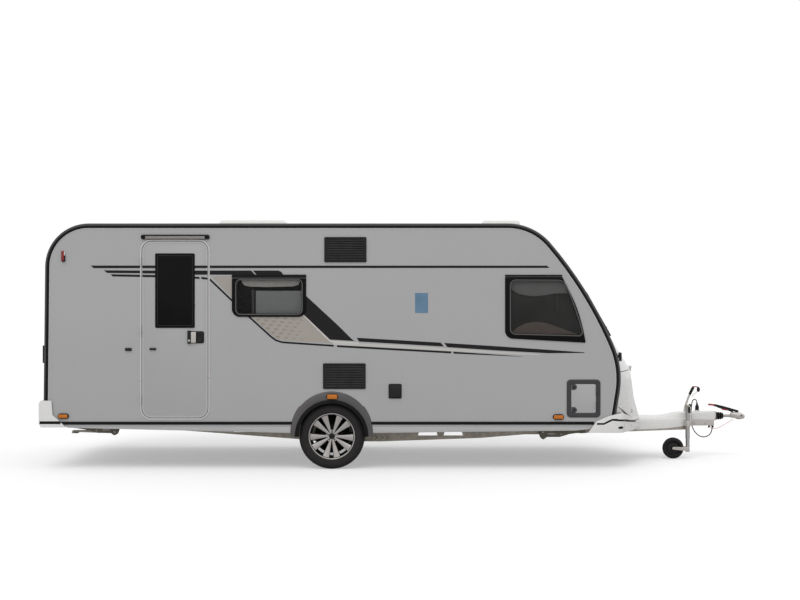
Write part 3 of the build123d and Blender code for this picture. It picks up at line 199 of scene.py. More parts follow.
def make_finishes():
    """Each finish by name, its usual slot, 8-bit colour and roughness."""
    surface("silver", "body_panel", (165, 165, 166), 0.36, metallic=0.15, coat=0.25, mottle=0.012,
            mottle_scale=0.8, grain=0.05, grain_scale=900)
    surface("silver_edge", "body_panel", (196, 194, 192), 0.32, metallic=0.2, mottle=0.02, grain=0.03)
    surface("roof", "body_panel", (226, 226, 224), 0.4, coat=0.2, mottle=0.02, grain=0.05, grain_scale=500)
    surface("white", "white_plastic", (219, 218, 217), 0.33, coat=0.3, mottle=0.015, grain=0.05,
            grain_scale=900)
    surface("pale", "white_plastic", (190, 189, 189), 0.38, coat=0.15, mottle=0.02, grain=0.04)
    surface("skirt", "white_plastic", (176, 175, 175), 0.42, mottle=0.03, grain=0.04)
    surface("plate", "white_plastic", (226, 225, 221), 0.42, mottle=0.03)
    surface("trim", "trim_black", (18, 18, 19), 0.4, mottle=0.08, grain=0.05, specular=0.12)
    # outer part of the black moulding, made paler as a painted highlight of the light on its rounded side
    surface("trim_outer_painted_sheen", "trim_black", (74, 74, 75), 0.42, mottle=0.06, grain=0.05, specular=0.1)
    surface("decal", "trim_black", (28, 26, 27), 0.42, mottle_scale=6, specular=0.15)
    surface("decal_beige", "trim_black", (157, 151, 143), 0.4, mottle=0.03)
    surface("decal_dots", "trim_black", (142, 134, 124), 0.42, mottle_scale=8)
    surface("decal_pale", "trim_black", (188, 185, 182), 0.4, coat=0.1, mottle=0.02)
    surface("decal_light", "trim_black", (204, 201, 198), 0.4, mottle=0.02)
    surface("decal_blue", "trim_black", (88, 120, 146), 0.36, mottle=0.1, mottle_scale=9)
    surface("hatch_grey", "trim_black", (54, 54, 56), 0.42, mottle=0.05, grain=0.2, grain_scale=700,
            specular=0.35)
    surface("plastic", "black_plastic", (24, 24, 25), 0.5, mottle=0.08, grain=0.3, grain_scale=700,
            specular=0.25)
    # top of the black plastic arch flares, paler grey as a painted highlight where it faces up into the light
    surface("flare_top", "black_plastic", (82, 80, 80), 0.48, mottle=0.06, grain=0.3, grain_scale=650,
            specular=0.3)
    surface("seal", "black_plastic", (12, 12, 13), 0.6, mottle=0.05, grain=0.2, specular=0.15)
    surface("red_plastic", "black_plastic", (148, 24, 40), 0.36, coat=0.2, mottle=0.05)
    surface("gloss_black", "window_dark", (8, 8, 8), 0.1, mottle=0.05, rough_spread=0.03, specular=0.1)
    # pale grey of the moulded ridges on dark acrylic: painted highlight
    surface("ridge", "window_dark", (82, 81, 80), 0.2, mottle=0.05, specular=0.4)
    smoked = surface("smoked", "window_dark", (14, 14, 14), 0.06, mottle=0.02, rough_spread=0.02,
                     specular=0.25)
    smoked.nodes["Principled BSDF"].inputs["Alpha"].default_value = 0.34     # lets light by unbent
    surface("reveal", "black_plastic", (60, 58, 57), 0.5, mottle=0.05, grain=0.1)
    # dark sheets behind the window panes: painted shade of the unlit interior
    surface("inside_front_painted_shade", "black_plastic", (62, 61, 60), 0.8, mottle=0.2, mottle_scale=5, specular=0.1)
    surface("inside_painted_shade", "black_plastic", (24, 23, 22), 0.8, mottle=0.3, mottle_scale=5, specular=0.1)
    surface("swag", "black_plastic", (116, 115, 114), 0.8, mottle=0.05, grain=0.4, grain_scale=160,
            stretch=(12, 1, 1), sheen=0.3)
    surface("blind", "black_plastic", (140, 142, 142), 0.8, grain=0.4, grain_scale=160,
            stretch=(1, 1, 12), sheen=0.3)
    for name, colour in (("curtain", (182, 178, 174)), ("cushion", (98, 88, 82))):
        surface(name, "black_plastic", colour, 0.9, mottle=0.08, mottle_scale=30, grain=0.5,
                grain_scale=500, sheen=0.4)
    surface("floor", "steel_galvanised", (58, 57, 55), 0.8, mottle=0.15, mottle_scale=6, grain=0.4,
            grain_scale=150)
    surface("zinc_dull", "steel_galvanised", (112, 107, 96), 0.6, metallic=0.3, mottle=0.2, mottle_scale=26)
    surface("zinc", "steel_galvanised", (168, 161, 150), 0.5, metallic=0.5, mottle=0.14, mottle_scale=26,
            rough_spread=0.14, grain=0.25, grain_scale=120)
    surface("painted_steel", "steel_painted", (186, 182, 177), 0.38, metallic=0.4, mottle=0.05,
            mottle_scale=18, grain=0.3, grain_scale=260)
    surface("bright", "bright_metal", (176, 175, 173), 0.24, metallic=0.9, mottle=0.05, mottle_scale=20,
            rough_spread=0.08, grain=0.1, stretch=(1, 1, 8))
    surface("tyre", "tyre_rubber", (38, 36, 36), 0.7, mottle=0.08, mottle_scale=14, grain=0.35,
            grain_scale=420, specular=0.2)
    surface("rubber", "bellows_rubber", (20, 19, 19), 0.6, mottle=0.1, mottle_scale=20, grain=0.3,
            specular=0.25)
    surface("alloy", "alloy", (168, 164, 162), 0.34, metallic=0.35, mottle_scale=10)
    surface("alloy_dark", "alloy", (14, 14, 15), 0.35, mottle=0.1, mottle_scale=12, specular=0.25)
    surface("drum", "steel_galvanised", (26, 24, 22), 0.75, mottle=0.25, mottle_scale=20, grain=0.4,
            specular=0.1)
    surface("grip", "grip_black", (24, 24, 25), 0.58, mottle=0.08, grain=0.45, grain_scale=520,
            specular=0.25)
    surface("cord_red", "cord_red", (190, 92, 96), 0.45, mottle=0.08, mottle_scale=60)
    surface("cord_black", "cord_black", (44, 44, 46), 0.5, mottle=0.08, mottle_scale=60, grain=0.1,
            specular=0.3)
    surface("gas", "gas_steel", (130, 134, 132), 0.45, mottle=0.06, grain=0.15)
    ribbed_lens("amber", "lamp_amber", (200, 112, 8), 0.1)
    ribbed_lens("red_lens", "lamp_red", (150, 24, 26), 0.25)
    ribbed_lens("clear_lens", "lamp_clear", (214, 214, 214), 0.5)
    ribbed_lens("smoked_lens", "lamp_clear", (150, 146, 143), 0.2)


def dress_cad():
    """Give each CAD node the finish of its slot, with a few of their own."""
    look = {slot: name for name, slot in usual_slot.items()}
    look.update({
        "body_panel": "silver", "floor_board": "floor", "trim_black": "trim", "window_dark": "gloss_black",
        "white_plastic": "white", "black_plastic": "plastic", "lamp_clear": "clear_lens",
        "steel_galvanised": "zinc", "jockey_rubber": "rubber", "alloy": "alloy"})
    own = {"roof": "roof", "skirts": "skirt", "front_wall": "white", "locker_lid": "white",
           "rear_wall": "silver", "drawbar_cover": "white", "overrun_cover": "pale", "axle": "zinc",
           "gas_locker": "pale"}
    node_slot = {part["node"]: part["material_slot"] for part in frame["record"]["subparts"]}
    for name, obj in nodes.items():
        obj.data.materials.clear()
        obj.data.materials.append(finish[own.get(name) or look[node_slot[name]]])


# ---- mesh helpers -----------------------------------------------------------
crease = math.radians(42)      # edges that turn more than this are drawn sharp


def piece(name, shape, look, slot=None, body="root", stands_for=None, sharp=40, bevel=0.0, segments=2):
    """Finished object from one bmesh or a list of them, with bevelled and sharp edges by angle."""
    bm = join(*shape) if isinstance(shape, list) else shape
    bmesh.ops.remove_doubles(bm, verts=bm.verts, dist=1e-6)
    bmesh.ops.recalc_face_normals(bm, faces=bm.faces)
    if bevel:
        limit = math.radians(sharp)
        edges = [e for e in bm.edges if len(e.link_faces) == 2 and e.calc_face_angle(0) > limit]
        bmesh.ops.bevel(bm, geom=edges, offset=bevel, offset_type="OFFSET", segments=segments, profile=0.6,
                        affect="EDGES", clamp_overlap=True)
    for face in bm.faces:
        face.smooth = True
    for edge in bm.edges:
        edge.smooth = not (len(edge.link_faces) == 2 and edge.calc_face_angle(0) > crease)
    mesh = bpy.data.meshes.new(name)
    bm.to_mesh(mesh)
    bm.free()
    obj = bpy.data.objects.new(name, mesh)
    bpy.context.scene.collection.objects.link(obj)
    obj.data.materials.append(finish[look])
    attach(obj, body)
    if stands_for:
        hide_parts(stands_for)
    return obj


def join(*parts):
    """One bmesh from several."""
    whole = bmesh.new()
    for part in parts:
        mesh = bpy.data.meshes.new("part")
        part.to_mesh(mesh)
        part.free()
        whole.from_mesh(mesh)
        bpy.data.meshes.remove(mesh)
    return whole


def mirrored(*parts):
    """The bmeshes and their mirror images on the other side of the middle plane."""
    bm = join(*parts)
    copy = bm.copy()
    for vert in copy.verts:
        vert.co.y = -vert.co.y
    bmesh.ops.reverse_faces(copy, faces=copy.faces)
    return join(bm, copy)


def placed(bm, place, turn=0, axis="Z", scale=(1, 1, 1)):
    """A bmesh drawn at the origin: scaled, turned by degrees about an axis and moved to its place."""
    bm.transform(Matrix.Translation(place) @ Matrix.Rotation(math.radians(turn), 4, axis) @
                 Matrix.Diagonal((*scale, 1)))
    return bm


def prism(outline, y0, y1):
    """Solid between two side-view outlines, one straight across from the other."""
    near, far = sorted((y0, y1))
    sides = shell_loops([[(x, y, z) for x, z in outline] for y in (near, far)])
    return capped(sides)


def box(x0, x1, y0, y1, z0, z1):
    return prism(corners_of(x0, x1, z0, z1), y0, y1)


def on_wall(x0, x1, z0, z1, near, far, side=-1, face_y=wall_y):
    """Box between two distances out from a side wall or from another upright face."""
    return box(x0, x1, side * (face_y + near), side * (face_y + far), z0, z1)


def corners_of(x0, x1, z0, z1):
    return ((x0, z0), (x1, z0), (x1, z1), (x0, z1))


def shell_loops(loops, closed_section=False, closed_path=True):
    """Skin through equal loops of points; each loop is one line along the piece."""
    bm = bmesh.new()
    rows = [[bm.verts.new(point) for point in loop] for loop in loops]
    count = len(rows[0])
    for low, high in zip(rows, rows[1:] + (rows[:1] if closed_section else [])):
        for i in range(count if closed_path else count - 1):
            j = (i + 1) % count
            bm.faces.new((low[i], low[j], high[j], high[i]))
    return bm


def capped(bm):
    """Close the open ends of a skin."""
    bmesh.ops.holes_fill(bm, edges=[e for e in bm.edges if len(e.link_faces) == 1], sides=0)
    return bm


def beam(loops):
    """Solid along an open path, from lines that go round its section."""
    return capped(shell_loops(loops, closed_section=True, closed_path=False))


def circle(steps):
    """Cosine and sine of equal steps round a full turn."""
    return [(math.cos(2 * math.pi * k / steps), math.sin(2 * math.pi * k / steps)) for k in range(steps)]


def grown(size, by):
    """The rectangle x0, x1, z0, z1 made larger on all sides."""
    x0, x1, z0, z1 = size
    return x0 - by, x1 + by, z0 - by, z1 + by


def side_view(node):
    """x0, x1, z0, z1 of a CAD node's box."""
    lo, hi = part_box(node)
    return lo.x, hi.x, lo.z, hi.z


corner_steps = 8


def rounded(size, radius):
    """Rounded rectangle in the side view."""
    x0, x1, z0, z1 = grown(size, -radius)
    return [(cx + radius * math.cos(a), cz + radius * math.sin(a))
            for cx, cz, start in ((x1, z1, 0), (x0, z1, 90), (x0, z0, 180), (x1, z0, 270))
            for a in [math.radians(start + 90 * i / corner_steps) for i in range(corner_steps + 1)]]


def raised(size, radius, steps, side=-1, face_y=wall_y, fall=0.0):
    """Rounded plate on a face, from lines drawn in by one distance and out from the face by the other.

    The corner radius falls by a share of how far a line is drawn in.
    """
    lines = [(rounded(grown(size, -inset), radius - fall * inset), side * (face_y + out))
             for inset, out in steps]
    return capped(shell_loops([[(x, y, z) for x, z in line] for line, y in lines]))


def ring(size, radius, width, near, far, side=-1, face_y=wall_y):
    """Flat frame between two distances out from a face: a rounded rectangle with a smaller one inside."""
    outer, inner = rounded(size, radius), rounded(grown(size, -width), max(radius - width, 0.004))
    return shell_loops([[(x, side * (face_y + out), z) for x, z in line]
                        for line, out in ((outer, far), (outer, near), (inner, near), (inner, far))],
                       closed_section=True)


def ribbon(points, widths):
    """Outline of a band along a side-view line with its width at each point."""
    left, right = [], []
    for i, ((x, z), width) in enumerate(zip(points, widths)):
        (ax, az), (bx, bz) = points[max(i - 1, 0)], points[min(i + 1, len(points) - 1)]
        share = width / 2 / math.hypot(bx - ax, bz - az)
        left.append((x - (bz - az) * share, z + (bx - ax) * share))
        right.append((x + (bz - az) * share, z - (bx - ax) * share))
    return left + right[::-1]


def inset_outline(points, distance):
    """Closed side-view outline moved inwards; the outline runs counter-clockwise."""
    result = []
    for i in range(len(points)):
        p, q, r = (Vector(points[(i + k) % len(points)]) for k in (-1, 0, 1))
        a, b = (q - p).normalized(), (r - q).normalized()
        na, nb = Vector((-a.y, a.x)), Vector((-b.y, b.x))
        half = (na + nb).normalized()
        result.append(tuple(q + half * (distance / max(half.dot(na), 0.3))))
    return result


def clipped(points, limit, keep_low):
    """Part of an outline on one side of an upright line."""
    result = []
    for (ax, az), (bx, bz) in zip(points, points[1:] + points[:1]):
        a_in = (ax <= limit) == keep_low
        b_in = (bx <= limit) == keep_low
        if a_in:
            result.append((ax, az))
        if a_in != b_in:
            result.append((limit, az + (limit - ax) / (bx - ax) * (bz - az)))
    return result


def between(points, x0, x1):
    """Part of an outline between two upright lines."""
    return clipped(clipped(points, x0, False), x1, True)


def lathe(profile, steps=64, closed=False):
    """Revolve (radius, y) points about the Y axis; a closed profile meets its own start."""
    return shell_loops([[(r * c, y, r * s) for c, s in circle(steps)] for r, y in profile], closed)


def bar(start, end, radius, steps=20, end_radius=None):
    """Round bar between two points, with its ends closed."""
    start, end = Vector(start), Vector(end)
    bm = bmesh.new()
    bmesh.ops.create_cone(bm, cap_ends=True, segments=steps, radius1=radius,
                          radius2=radius if end_radius is None else end_radius, depth=(end - start).length)
    bm.transform(Matrix.Translation((start + end) / 2) @
                 (end - start).to_track_quat("Z", "Y").to_matrix().to_4x4())
    return bm


def bent_bar(points, radius, steps, squash):
    """Round or oval bar along a smooth line through given points."""
    fine = [Vector(p) for p in points]
    for _ in range(3):
        finer = [fine[0]]
        for a, b in zip(fine[:-1], fine[1:]):
            finer += [a.lerp(b, 0.25), a.lerp(b, 0.75)]
        fine = finer + [fine[-1]]
    loops = []
    for i, point in enumerate(fine):
        ahead = fine[min(i + 1, len(fine) - 1)] - fine[max(i - 1, 0)]
        up = ahead.cross(Vector((0, 1, 0))).normalized()
        across = up.cross(ahead).normalized()
        loops.append([point + up * radius * c + across * radius * squash * s for c, s in circle(steps)])
    return capped(shell_loops(loops))


def softened(node, look, slot=None, body="root", bevel=0.004, segments=3, sharp=35):
    """Copy of a CAD node with its flat faces joined again and its edges rounded, to stand for it."""
    bm = bmesh.new()
    bm.from_mesh(nodes[node].data)
    bmesh.ops.remove_doubles(bm, verts=bm.verts, dist=1e-5)
    bmesh.ops.dissolve_limit(bm, angle_limit=math.radians(1.0), verts=bm.verts, edges=bm.edges)
    piece(node + "_skin", bm, look, slot, body, node, sharp, bevel, segments)


# ---- body outline -----------------------------------------------------------
def nose_point(turn, inset):
    """Point of the side profile where it has turned down by this angle."""
    x, z, done = nose_top_x, roof_z - inset, 0
    for radius, sweep in nose_arcs:
        part = max(0, min(turn - done, sweep))
        a0, a1 = math.radians(done), math.radians(done + part)
        x += (radius - inset) * (math.sin(a1) - math.sin(a0))
        z -= (radius - inset) * (math.cos(a0) - math.cos(a1))
        done += sweep
    return x, z


def body_path(inset, foot_z):
    """Side-view line from the rear foot over the roof to the front foot."""
    r = rear_top_r - inset
    cx, cz = rear_top_x, roof_z - rear_top_r
    x, z = cx - r * math.cos(rear_lean), cz + r * math.sin(rear_lean)     # top of the rear wall
    foot_x = x - (z - foot_z) * math.tan(rear_lean)
    points = [(foot_x + (x - foot_x) * i / 6, foot_z + (z - foot_z) * i / 6) for i in range(6)]
    for i in range(17):
        a = math.pi - rear_lean - (math.pi / 2 - rear_lean) * i / 16
        points.append((cx + r * math.cos(a), cz + r * math.sin(a)))
    points += [(cx + (nose_top_x - cx) * i / 6, roof_z - inset) for i in range(1, 6)]
    points += [nose_point(nose_turn * i / 48, inset) for i in range(49)]
    x_end, z_end = points[-1]
    fall = z_end - foot_z
    lean = math.tan(math.radians(nose_turn - 90))
    return points + [(x_end - fall * lean * k, z_end - fall * k) for k in (0.5, 1.0)]


# ---- edge mouldings ---------------------------------------------------------
moulding_w = 0.048
# rounded section: inset from the outline, distance out from the middle
moulding_section = (
    (0.000, inner_y), (0.000, wall_y - 0.020), (0.0015, wall_y - 0.010), (0.005, wall_y - 0.001),
    (0.011, wall_y + 0.0055), (0.019, wall_y + 0.0095), (0.028, moulding_y - 0.0004), (0.036, moulding_y),
    (0.042, moulding_y - 0.002), (0.0465, wall_y + 0.006), (moulding_w, wall_y))
moulding_split = 0.023     # the outer part is paler than the face: painted highlight of the light on its rounded side
split_edge = ((moulding_split, moulding_y - 0.0022), (moulding_split, wall_y - 0.001))
outer_section = moulding_section[:6] + split_edge
face_section = split_edge[::-1] + moulding_section[6:]
bead_section = ((moulding_w, wall_y), (moulding_w, wall_y + 0.003), (moulding_w + 0.003, wall_y + 0.004),
                (moulding_w + 0.006, wall_y + 0.003), (moulding_w + 0.007, wall_y))


def make_mouldings():
    for name, section, foot_z, look, node in (
            ("edge_moulding", outer_section, body_foot_z, "trim_outer_painted_sheen", "edge_mouldings"),
            ("edge_moulding_face", face_section, body_foot_z, "trim", None),
            ("moulding_bead", bead_section, body_foot_z + 0.09, "silver_edge", None)):
        loops = [[(x, -y, z) for x, z in body_path(inset, foot_z)] for inset, y in section]
        piece(name, mirrored(beam(loops)), look, stands_for=node)


# ---- stage ------------------------------------------------------------------
sky_level = 0.775       # light from the sky, which the camera sees as white
floor_glow = 0.37
key_energy = 0.9
camera_place = (-0.0575, -15.16, 1.698)
camera_lens = 63        # mm on a 36 mm sensor


def make_stage():
    scene = bpy.context.scene
    camera = bpy.data.objects.new("camera", bpy.data.cameras.new("camera"))
    camera.location = camera_place
    camera.rotation_euler = (math.radians(90), 0, 0)
    camera.data.lens = camera_lens
    camera.data.sensor_width = 36
    camera.data.clip_end = 200
    scene.camera = camera
    scene.view_settings.view_transform = "Standard"

    scene.world = bpy.data.worlds.new("studio")
    scene.world.use_nodes = True
    tree = scene.world.node_tree
    background = tree.nodes["Background"]
    background.inputs["Color"].default_value = grey(1)
    path = add_node(tree, "ShaderNodeLightPath").outputs
    seen = add_node(tree, "ShaderNodeMath", operation="MAXIMUM")
    also = add_node(tree, "ShaderNodeMath", operation="MAXIMUM")
    level = add_node(tree, "ShaderNodeMapRange", {"To Min": sky_level, "To Max": 1.0})
    for start, end in ((path["Is Camera Ray"], seen.inputs[0]), (path["Is Glossy Ray"], seen.inputs[1]),
                       (seen.outputs[0], also.inputs[0]), (path["Is Transmission Ray"], also.inputs[1]),
                       (also.outputs[0], level.inputs["Value"]),
                       (level.outputs["Result"], background.inputs["Strength"])):
        tree.links.new(start, end)

    bm = bmesh.new()
    bmesh.ops.create_grid(bm, x_segments=1, y_segments=1, size=60)
    mesh = bpy.data.meshes.new("studio_floor")
    bm.to_mesh(mesh)
    bm.free()
    ground = bpy.data.objects.new("studio_floor", mesh)
    material = bpy.data.materials.new("studio_floor")
    material.use_nodes = True
    tree = material.node_tree
    inputs = tree.nodes["Principled BSDF"].inputs
    for key, value in (("Base Color", grey(0.68)), ("Roughness", 0.9), ("Specular IOR Level", 0.1),
                       ("Emission Color", grey(1))):
        inputs[key].default_value = value
    gain = add_node(tree, "ShaderNodeMath", {1: floor_glow}, operation="MULTIPLY")
    tree.links.new(add_node(tree, "ShaderNodeLightPath").outputs["Is Camera Ray"], gain.inputs[0])
    tree.links.new(gain.outputs[0], inputs["Emission Strength"])
    ground.data.materials.append(material)

    sun = bpy.data.objects.new("soft_key", bpy.data.lights.new("soft_key", "SUN"))
    sun.data.energy = key_energy
    sun.data.angle = math.radians(40)
    sun.rotation_euler = (math.radians(38), math.radians(-14), 0)
    for obj in (camera, ground, sun):
        scene.collection.objects.link(obj)


# ---- free cords: the routes of the CAD tubes --------------------------------
lead_route = (
    (3.178, 0.092, 0.5565), (3.178, 0.092, 0.598), (3.159, 0.122, 0.619), (3.140, 0.153, 0.598),
    (3.133, 0.163, 0.545), (3.128, 0.164, 0.455), (3.128, 0.158, 0.365), (3.147, 0.151, 0.280),
    (3.203, 0.146, 0.214), (3.272, 0.143, 0.197), (3.333, 0.141, 0.228), (3.356, 0.140, 0.290),
    (3.345, 0.138, 0.345), (3.316, 0.130, 0.376), (3.276, 0.116, 0.380), (3.276, 0.0605, 0.380))
cable_route = (
    (3.286, -0.034, 0.3435), (3.290, -0.036, 0.322), (3.326, -0.038, 0.306), (3.375, -0.040, 0.314),
    (3.425, -0.040, 0.342), (3.475, -0.038, 0.372), (3.512, -0.038, 0.392), (3.540, -0.036, 0.412))
lead_d = 0.011
cable_d = 0.005


def make_cord(name, route, diameter, look, pieces):
    """Free cord on a smooth spline through the route, round in section."""
    curve = bpy.data.curves.new(name, "CURVE")
    curve.dimensions = "3D"
    spline = curve.splines.new("NURBS")
    spline.points.add(len(route) - 1)
    for point, place in zip(spline.points, route):
        point.co = (*place, 1)
    spline.order_u = 3
    spline.use_endpoint_u = True
    spline.resolution_u = 10
    curve.bevel_depth = diameter / 2
    curve.bevel_resolution = 4
    curve.use_fill_caps = True
    obj = bpy.data.objects.new(name, curve)
    obj.data.materials.append(finish[look])
    bpy.context.scene.collection.objects.link(obj)
    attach(obj, "root")
    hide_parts(name.replace("_line", ""))


def make_plug():
    """Plug of the supply lead, parked upright, with its strain relief."""
    lo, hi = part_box("lead_plug")
    x, y = (lo.x + hi.x) / 2, (lo.y + hi.y) / 2
    rings = ((0.0, 0.500), (0.0195, 0.500), (0.021, 0.503), (0.021, 0.532), (0.019, 0.534), (0.019, 0.538),
             (0.0205, 0.540), (0.0175, 0.548), (0.010, 0.5555), (0.0, 0.5555))
    relief = bar((x, y, 0.5550), (x, y, 0.5800), 0.0125, 24, 0.0075)
    return piece("lead_plug_body", [placed(lathe(rings, 32), (x, y, 0), 90, "X"), relief], "plastic",
                 stands_for="lead_plug", sharp=30)


def make_cords():
    make_cord("supply_lead_line", lead_route, lead_d, "cord_black", [make_plug()])
    make_cord("breakaway_cable_line", cable_route, cable_d, "cord_red", [])


# ---- wheel arch flares ------------------------------------------------------
flare_main_r = 0.404
flare_wide_r = flare_main_r + 0.008     # below the shoulder
flare_shoulder_z = 0.615
lip_in_r = 0.331
lip_out_r = 0.369


def flare_reach(angle, radius):
    """Distance from the axle to the flare's outer edge, whose centre is higher."""
    rise = flare_top_z - flare_main_r - tyre_r
    return rise * math.sin(angle) + math.sqrt(radius ** 2 - (rise * math.cos(angle)) ** 2)


def make_flares():
    """Flare and lip from sections of (radius, y); a radius of 0 or less is measured from the outer edge."""
    shoulder = math.asin((flare_shoulder_z - tyre_r) / flare_wide_r)
    steps = [math.radians(2 * k) for k in range(91)]
    steps += [a + k * 0.002 for a in (shoulder, math.pi - shoulder) for k in (-1, 1)]
    path = [(a, flare_reach(a, flare_main_r if shoulder <= a <= math.pi - shoulder else flare_wide_r))
            for a in sorted(steps)]
    flare = ((0, wall_y - 0.001), (0, wall_y + 0.005), (-0.003, wall_y + 0.0075),
             (lip_out_r + 0.005, flare_y - 0.002), (lip_out_r, flare_y - 0.0045), (lip_out_r, wall_y - 0.001))
    lip = ((lip_out_r - 0.0005, wall_y - 0.001), (lip_out_r - 0.0005, flare_y - 0.003),
           (lip_out_r - 0.004, flare_y), (lip_in_r + 0.003, flare_y), (lip_in_r, flare_y - 0.003),
           (lip_in_r, inner_y + 0.002))
    # the flare top's paler grey is a painted highlight
    for name, section, look, node in (("arch_flare_top", flare, "flare_top", "arch_flares"),
                                      ("arch_flare_lip", lip, "seal", None)):
        loops = [[(axle_x + reach * math.cos(a), -y, tyre_r + reach * math.sin(a))
                  for a, reach in ((a, r if r > 0 else outer + r) for a, outer in path)] for r, y in section]
        piece(name, mirrored(beam(loops)), look, stands_for=node, sharp=20)


# ---- wheels -----------------------------------------------------------------
spoke_phase = 53        # degrees
spoke_split = 15
spoke_pairs = 5
bolt_phase = 17
bolt_circle_r = 0.054
# stations along a spoke: radius, half width, height of its face
spoke_stations = ((0.030, 0.0115, 0.066), (0.070, 0.0155, 0.0665), (0.110, 0.0210, 0.070),
                  (0.150, 0.0265, 0.0755), (0.190, 0.0325, 0.082), (0.216, 0.0365, 0.0865))


def tyre_profile():
    """(radius, distance out from the middle) from the outer bead round to the inner one."""
    half = [(0.224, 0.086), (0.231, 0.0935), (0.238, 0.0975), (0.2435, 0.1000), (0.2445, 0.1022),
            (0.2485, 0.1036), (0.2510, 0.1034), (0.268, 0.1075), (0.284, 0.1066), (0.2880, 0.1060),
            (0.2892, 0.1072), (0.2920, 0.1066), (0.2932, 0.1044), (0.302, 0.1005), (0.311, 0.0945),
            (0.319, 0.0862), (0.3248, 0.0762), (0.3278, 0.066)]
    for groove in (0.052, 0.018):
        half += [(0.3295, groove + 0.005), (0.3225, groove + 0.0035), (0.3225, groove - 0.0035),
                 (0.3298, groove - 0.005)]
    return half + [(r, -y) for r, y in reversed(half)]


def spoke(angle, narrow, lift, depth):
    """One spoke as a tapered bar from the hub to the rim."""
    across = Vector((math.sin(angle), 0, math.cos(angle)))
    along = Vector((-math.cos(angle), 0, math.sin(angle)))
    loops = []
    for r, half, face in spoke_stations:
        half, face = half - narrow, face + lift
        loops.append([along * r + across * shift + Vector((0, y, 0)) for shift, y in (
            (-half, face - 0.0015), (0.002 - half, face), (half - 0.002, face), (half, face - 0.0015),
            (half + 0.002, face - depth), (-half - 0.002, face - depth))])
    return capped(shell_loops(loops))


barrel = ((0.2325, 0.0895), (0.2325, 0.094), (0.230, 0.095), (0.2245, 0.0945), (0.2215, 0.0915),
          (0.2155, 0.0875), (0.2135, 0.070), (0.206, 0.040), (0.204, -0.050), (0.214, -0.085),
          (0.222, -0.0935), (0.2325, -0.095), (0.2325, -0.090), (0.226, -0.088), (0.216, -0.05),
          (0.214, 0.03), (0.224, 0.086))
rim_edge = ((0.2328, 0.0885), (0.2330, 0.0935), (0.2305, 0.0957), (0.2250, 0.0955), (0.2215, 0.0925),
            (0.2205, 0.0895), (0.2225, 0.088))
hub = ((0.0, 0.062), (0.050, 0.062), (0.060, 0.060), (0.068, 0.055), (0.070, 0.030), (0.0, 0.030))
hub_cap = ((0.0, 0.0685), (0.024, 0.0685), (0.029, 0.0670), (0.030, 0.0640), (0.030, 0.060))
brake_drum = ((0.0, 0.024), (0.060, 0.024), (0.070, 0.020), (0.118, 0.016), (0.125, 0.010), (0.125, -0.045),
              (0.176, -0.048), (0.180, -0.056), (0.176, -0.064), (0.0, -0.064))


def make_wheel(side, wheel_place, turn):
    """Wheel drawn round the origin with its outer face to +Y, then put on the axle."""
    def add(name, shapes, look, slot=None, node=None, **edges):
        shape = placed(join(*shapes), wheel_place, turn)
        piece(name + side, shape, look, slot, "wheel" + side, node, **edges)

    angles = [math.radians(spoke_phase + 72 * pair + way * spoke_split)
              for pair in range(spoke_pairs) for way in (-1, 1)]
    bolt_angles = [math.radians(bolt_phase + 72 * k) for k in range(5)]
    bolts = [(bolt_circle_r * math.cos(a), bolt_circle_r * math.sin(a)) for a in bolt_angles]
    add("tyre", [lathe(tyre_profile(), 128)], "tyre", node="wheel%s_tyre" % side, sharp=30)
    add("rim", [lathe(barrel, 96)], "alloy_dark", node="wheel%s_rim" % side, sharp=30)
    add("rim_edge", [lathe(rim_edge, 96)], "alloy", sharp=60)
    add("spokes", [*(spoke(a, 0, 0, 0.022) for a in angles), lathe(hub, 48)], "alloy_dark", sharp=30)
    add("spoke_faces", [spoke(a, 0.0035, 0.0012, 0.003) for a in angles], "alloy", sharp=30)
    add("hub_cap", [lathe(hub_cap, 40)], "alloy_dark")
    add("wheel_bolts", [bar((x, 0.058, z), (x, 0.0655, z), 0.0085, 6) for x, z in bolts], "bright", "alloy",
        bevel=0.0008)
    add("brake_drum", [lathe(brake_drum)], "drum")
    add("tyre_valve", [bar((-0.185, 0.050, 0.03), (-0.175, 0.078, 0.03), 0.004, 10)], "rubber", "tyre_rubber")


def make_wheels():
    make_wheel("_right", (axle_x, -wheel_y, tyre_r), 180)
    make_wheel("_left", (axle_x, wheel_y, tyre_r), 0)


# ---- decals -----------------------------------------------------------------
foil = 0.0004

stripe_top = ((-3.153, 2.043), (1.414, 2.042), (1.439, 2.019), (-3.127, 2.017))
stripe_second = ((-3.023, 1.995), (-2.511, 1.992), (-1.549, 1.993), (-1.507, 1.950), (-2.114, 1.952),
                 (-2.511, 1.964), (-2.990, 1.969))
stripe_second_end = ((-1.530, 1.993), (-1.275, 1.993), (-1.246, 1.980), (-1.225, 1.949), (-1.492, 1.949))
stripe_third = ((-2.953, 1.956), (-2.511, 1.948), (-2.160, 1.936), (-2.160, 1.916), (-2.511, 1.926),
                (-2.936, 1.934))
stripe_dashes = (((-2.148, 1.935), (-2.067, 1.929), (-2.061, 1.909), (-2.142, 1.915)),
                 ((-2.050, 1.929), (-1.984, 1.922), (-1.980, 1.902), (-2.044, 1.908)))
stripe_fall = ((-1.962, 1.905), (-1.741, 1.693), (-1.574, 1.535), (-1.346, 1.328), (-1.299, 1.295),
               (-1.239, 1.275), (-1.159, 1.269), (-0.722, 1.240))
stripe_low = ((-0.688, 1.236), (-0.058, 1.201), (0.455, 1.173))
stripe_low_end = ((0.477, 1.171), (0.744, 1.156), (1.166, 1.132))
charcoal_fall = ((-1.029, 1.768), (-0.679, 1.445), (-0.549, 1.3155), (-0.516, 1.2870), (-0.540, 1.2890),
                 (-0.758, 1.3015), (-1.039, 1.566))
light_fall = ((-1.036, 1.560), (-0.770, 1.297), (-0.748, 1.284), (-0.470, 1.268))
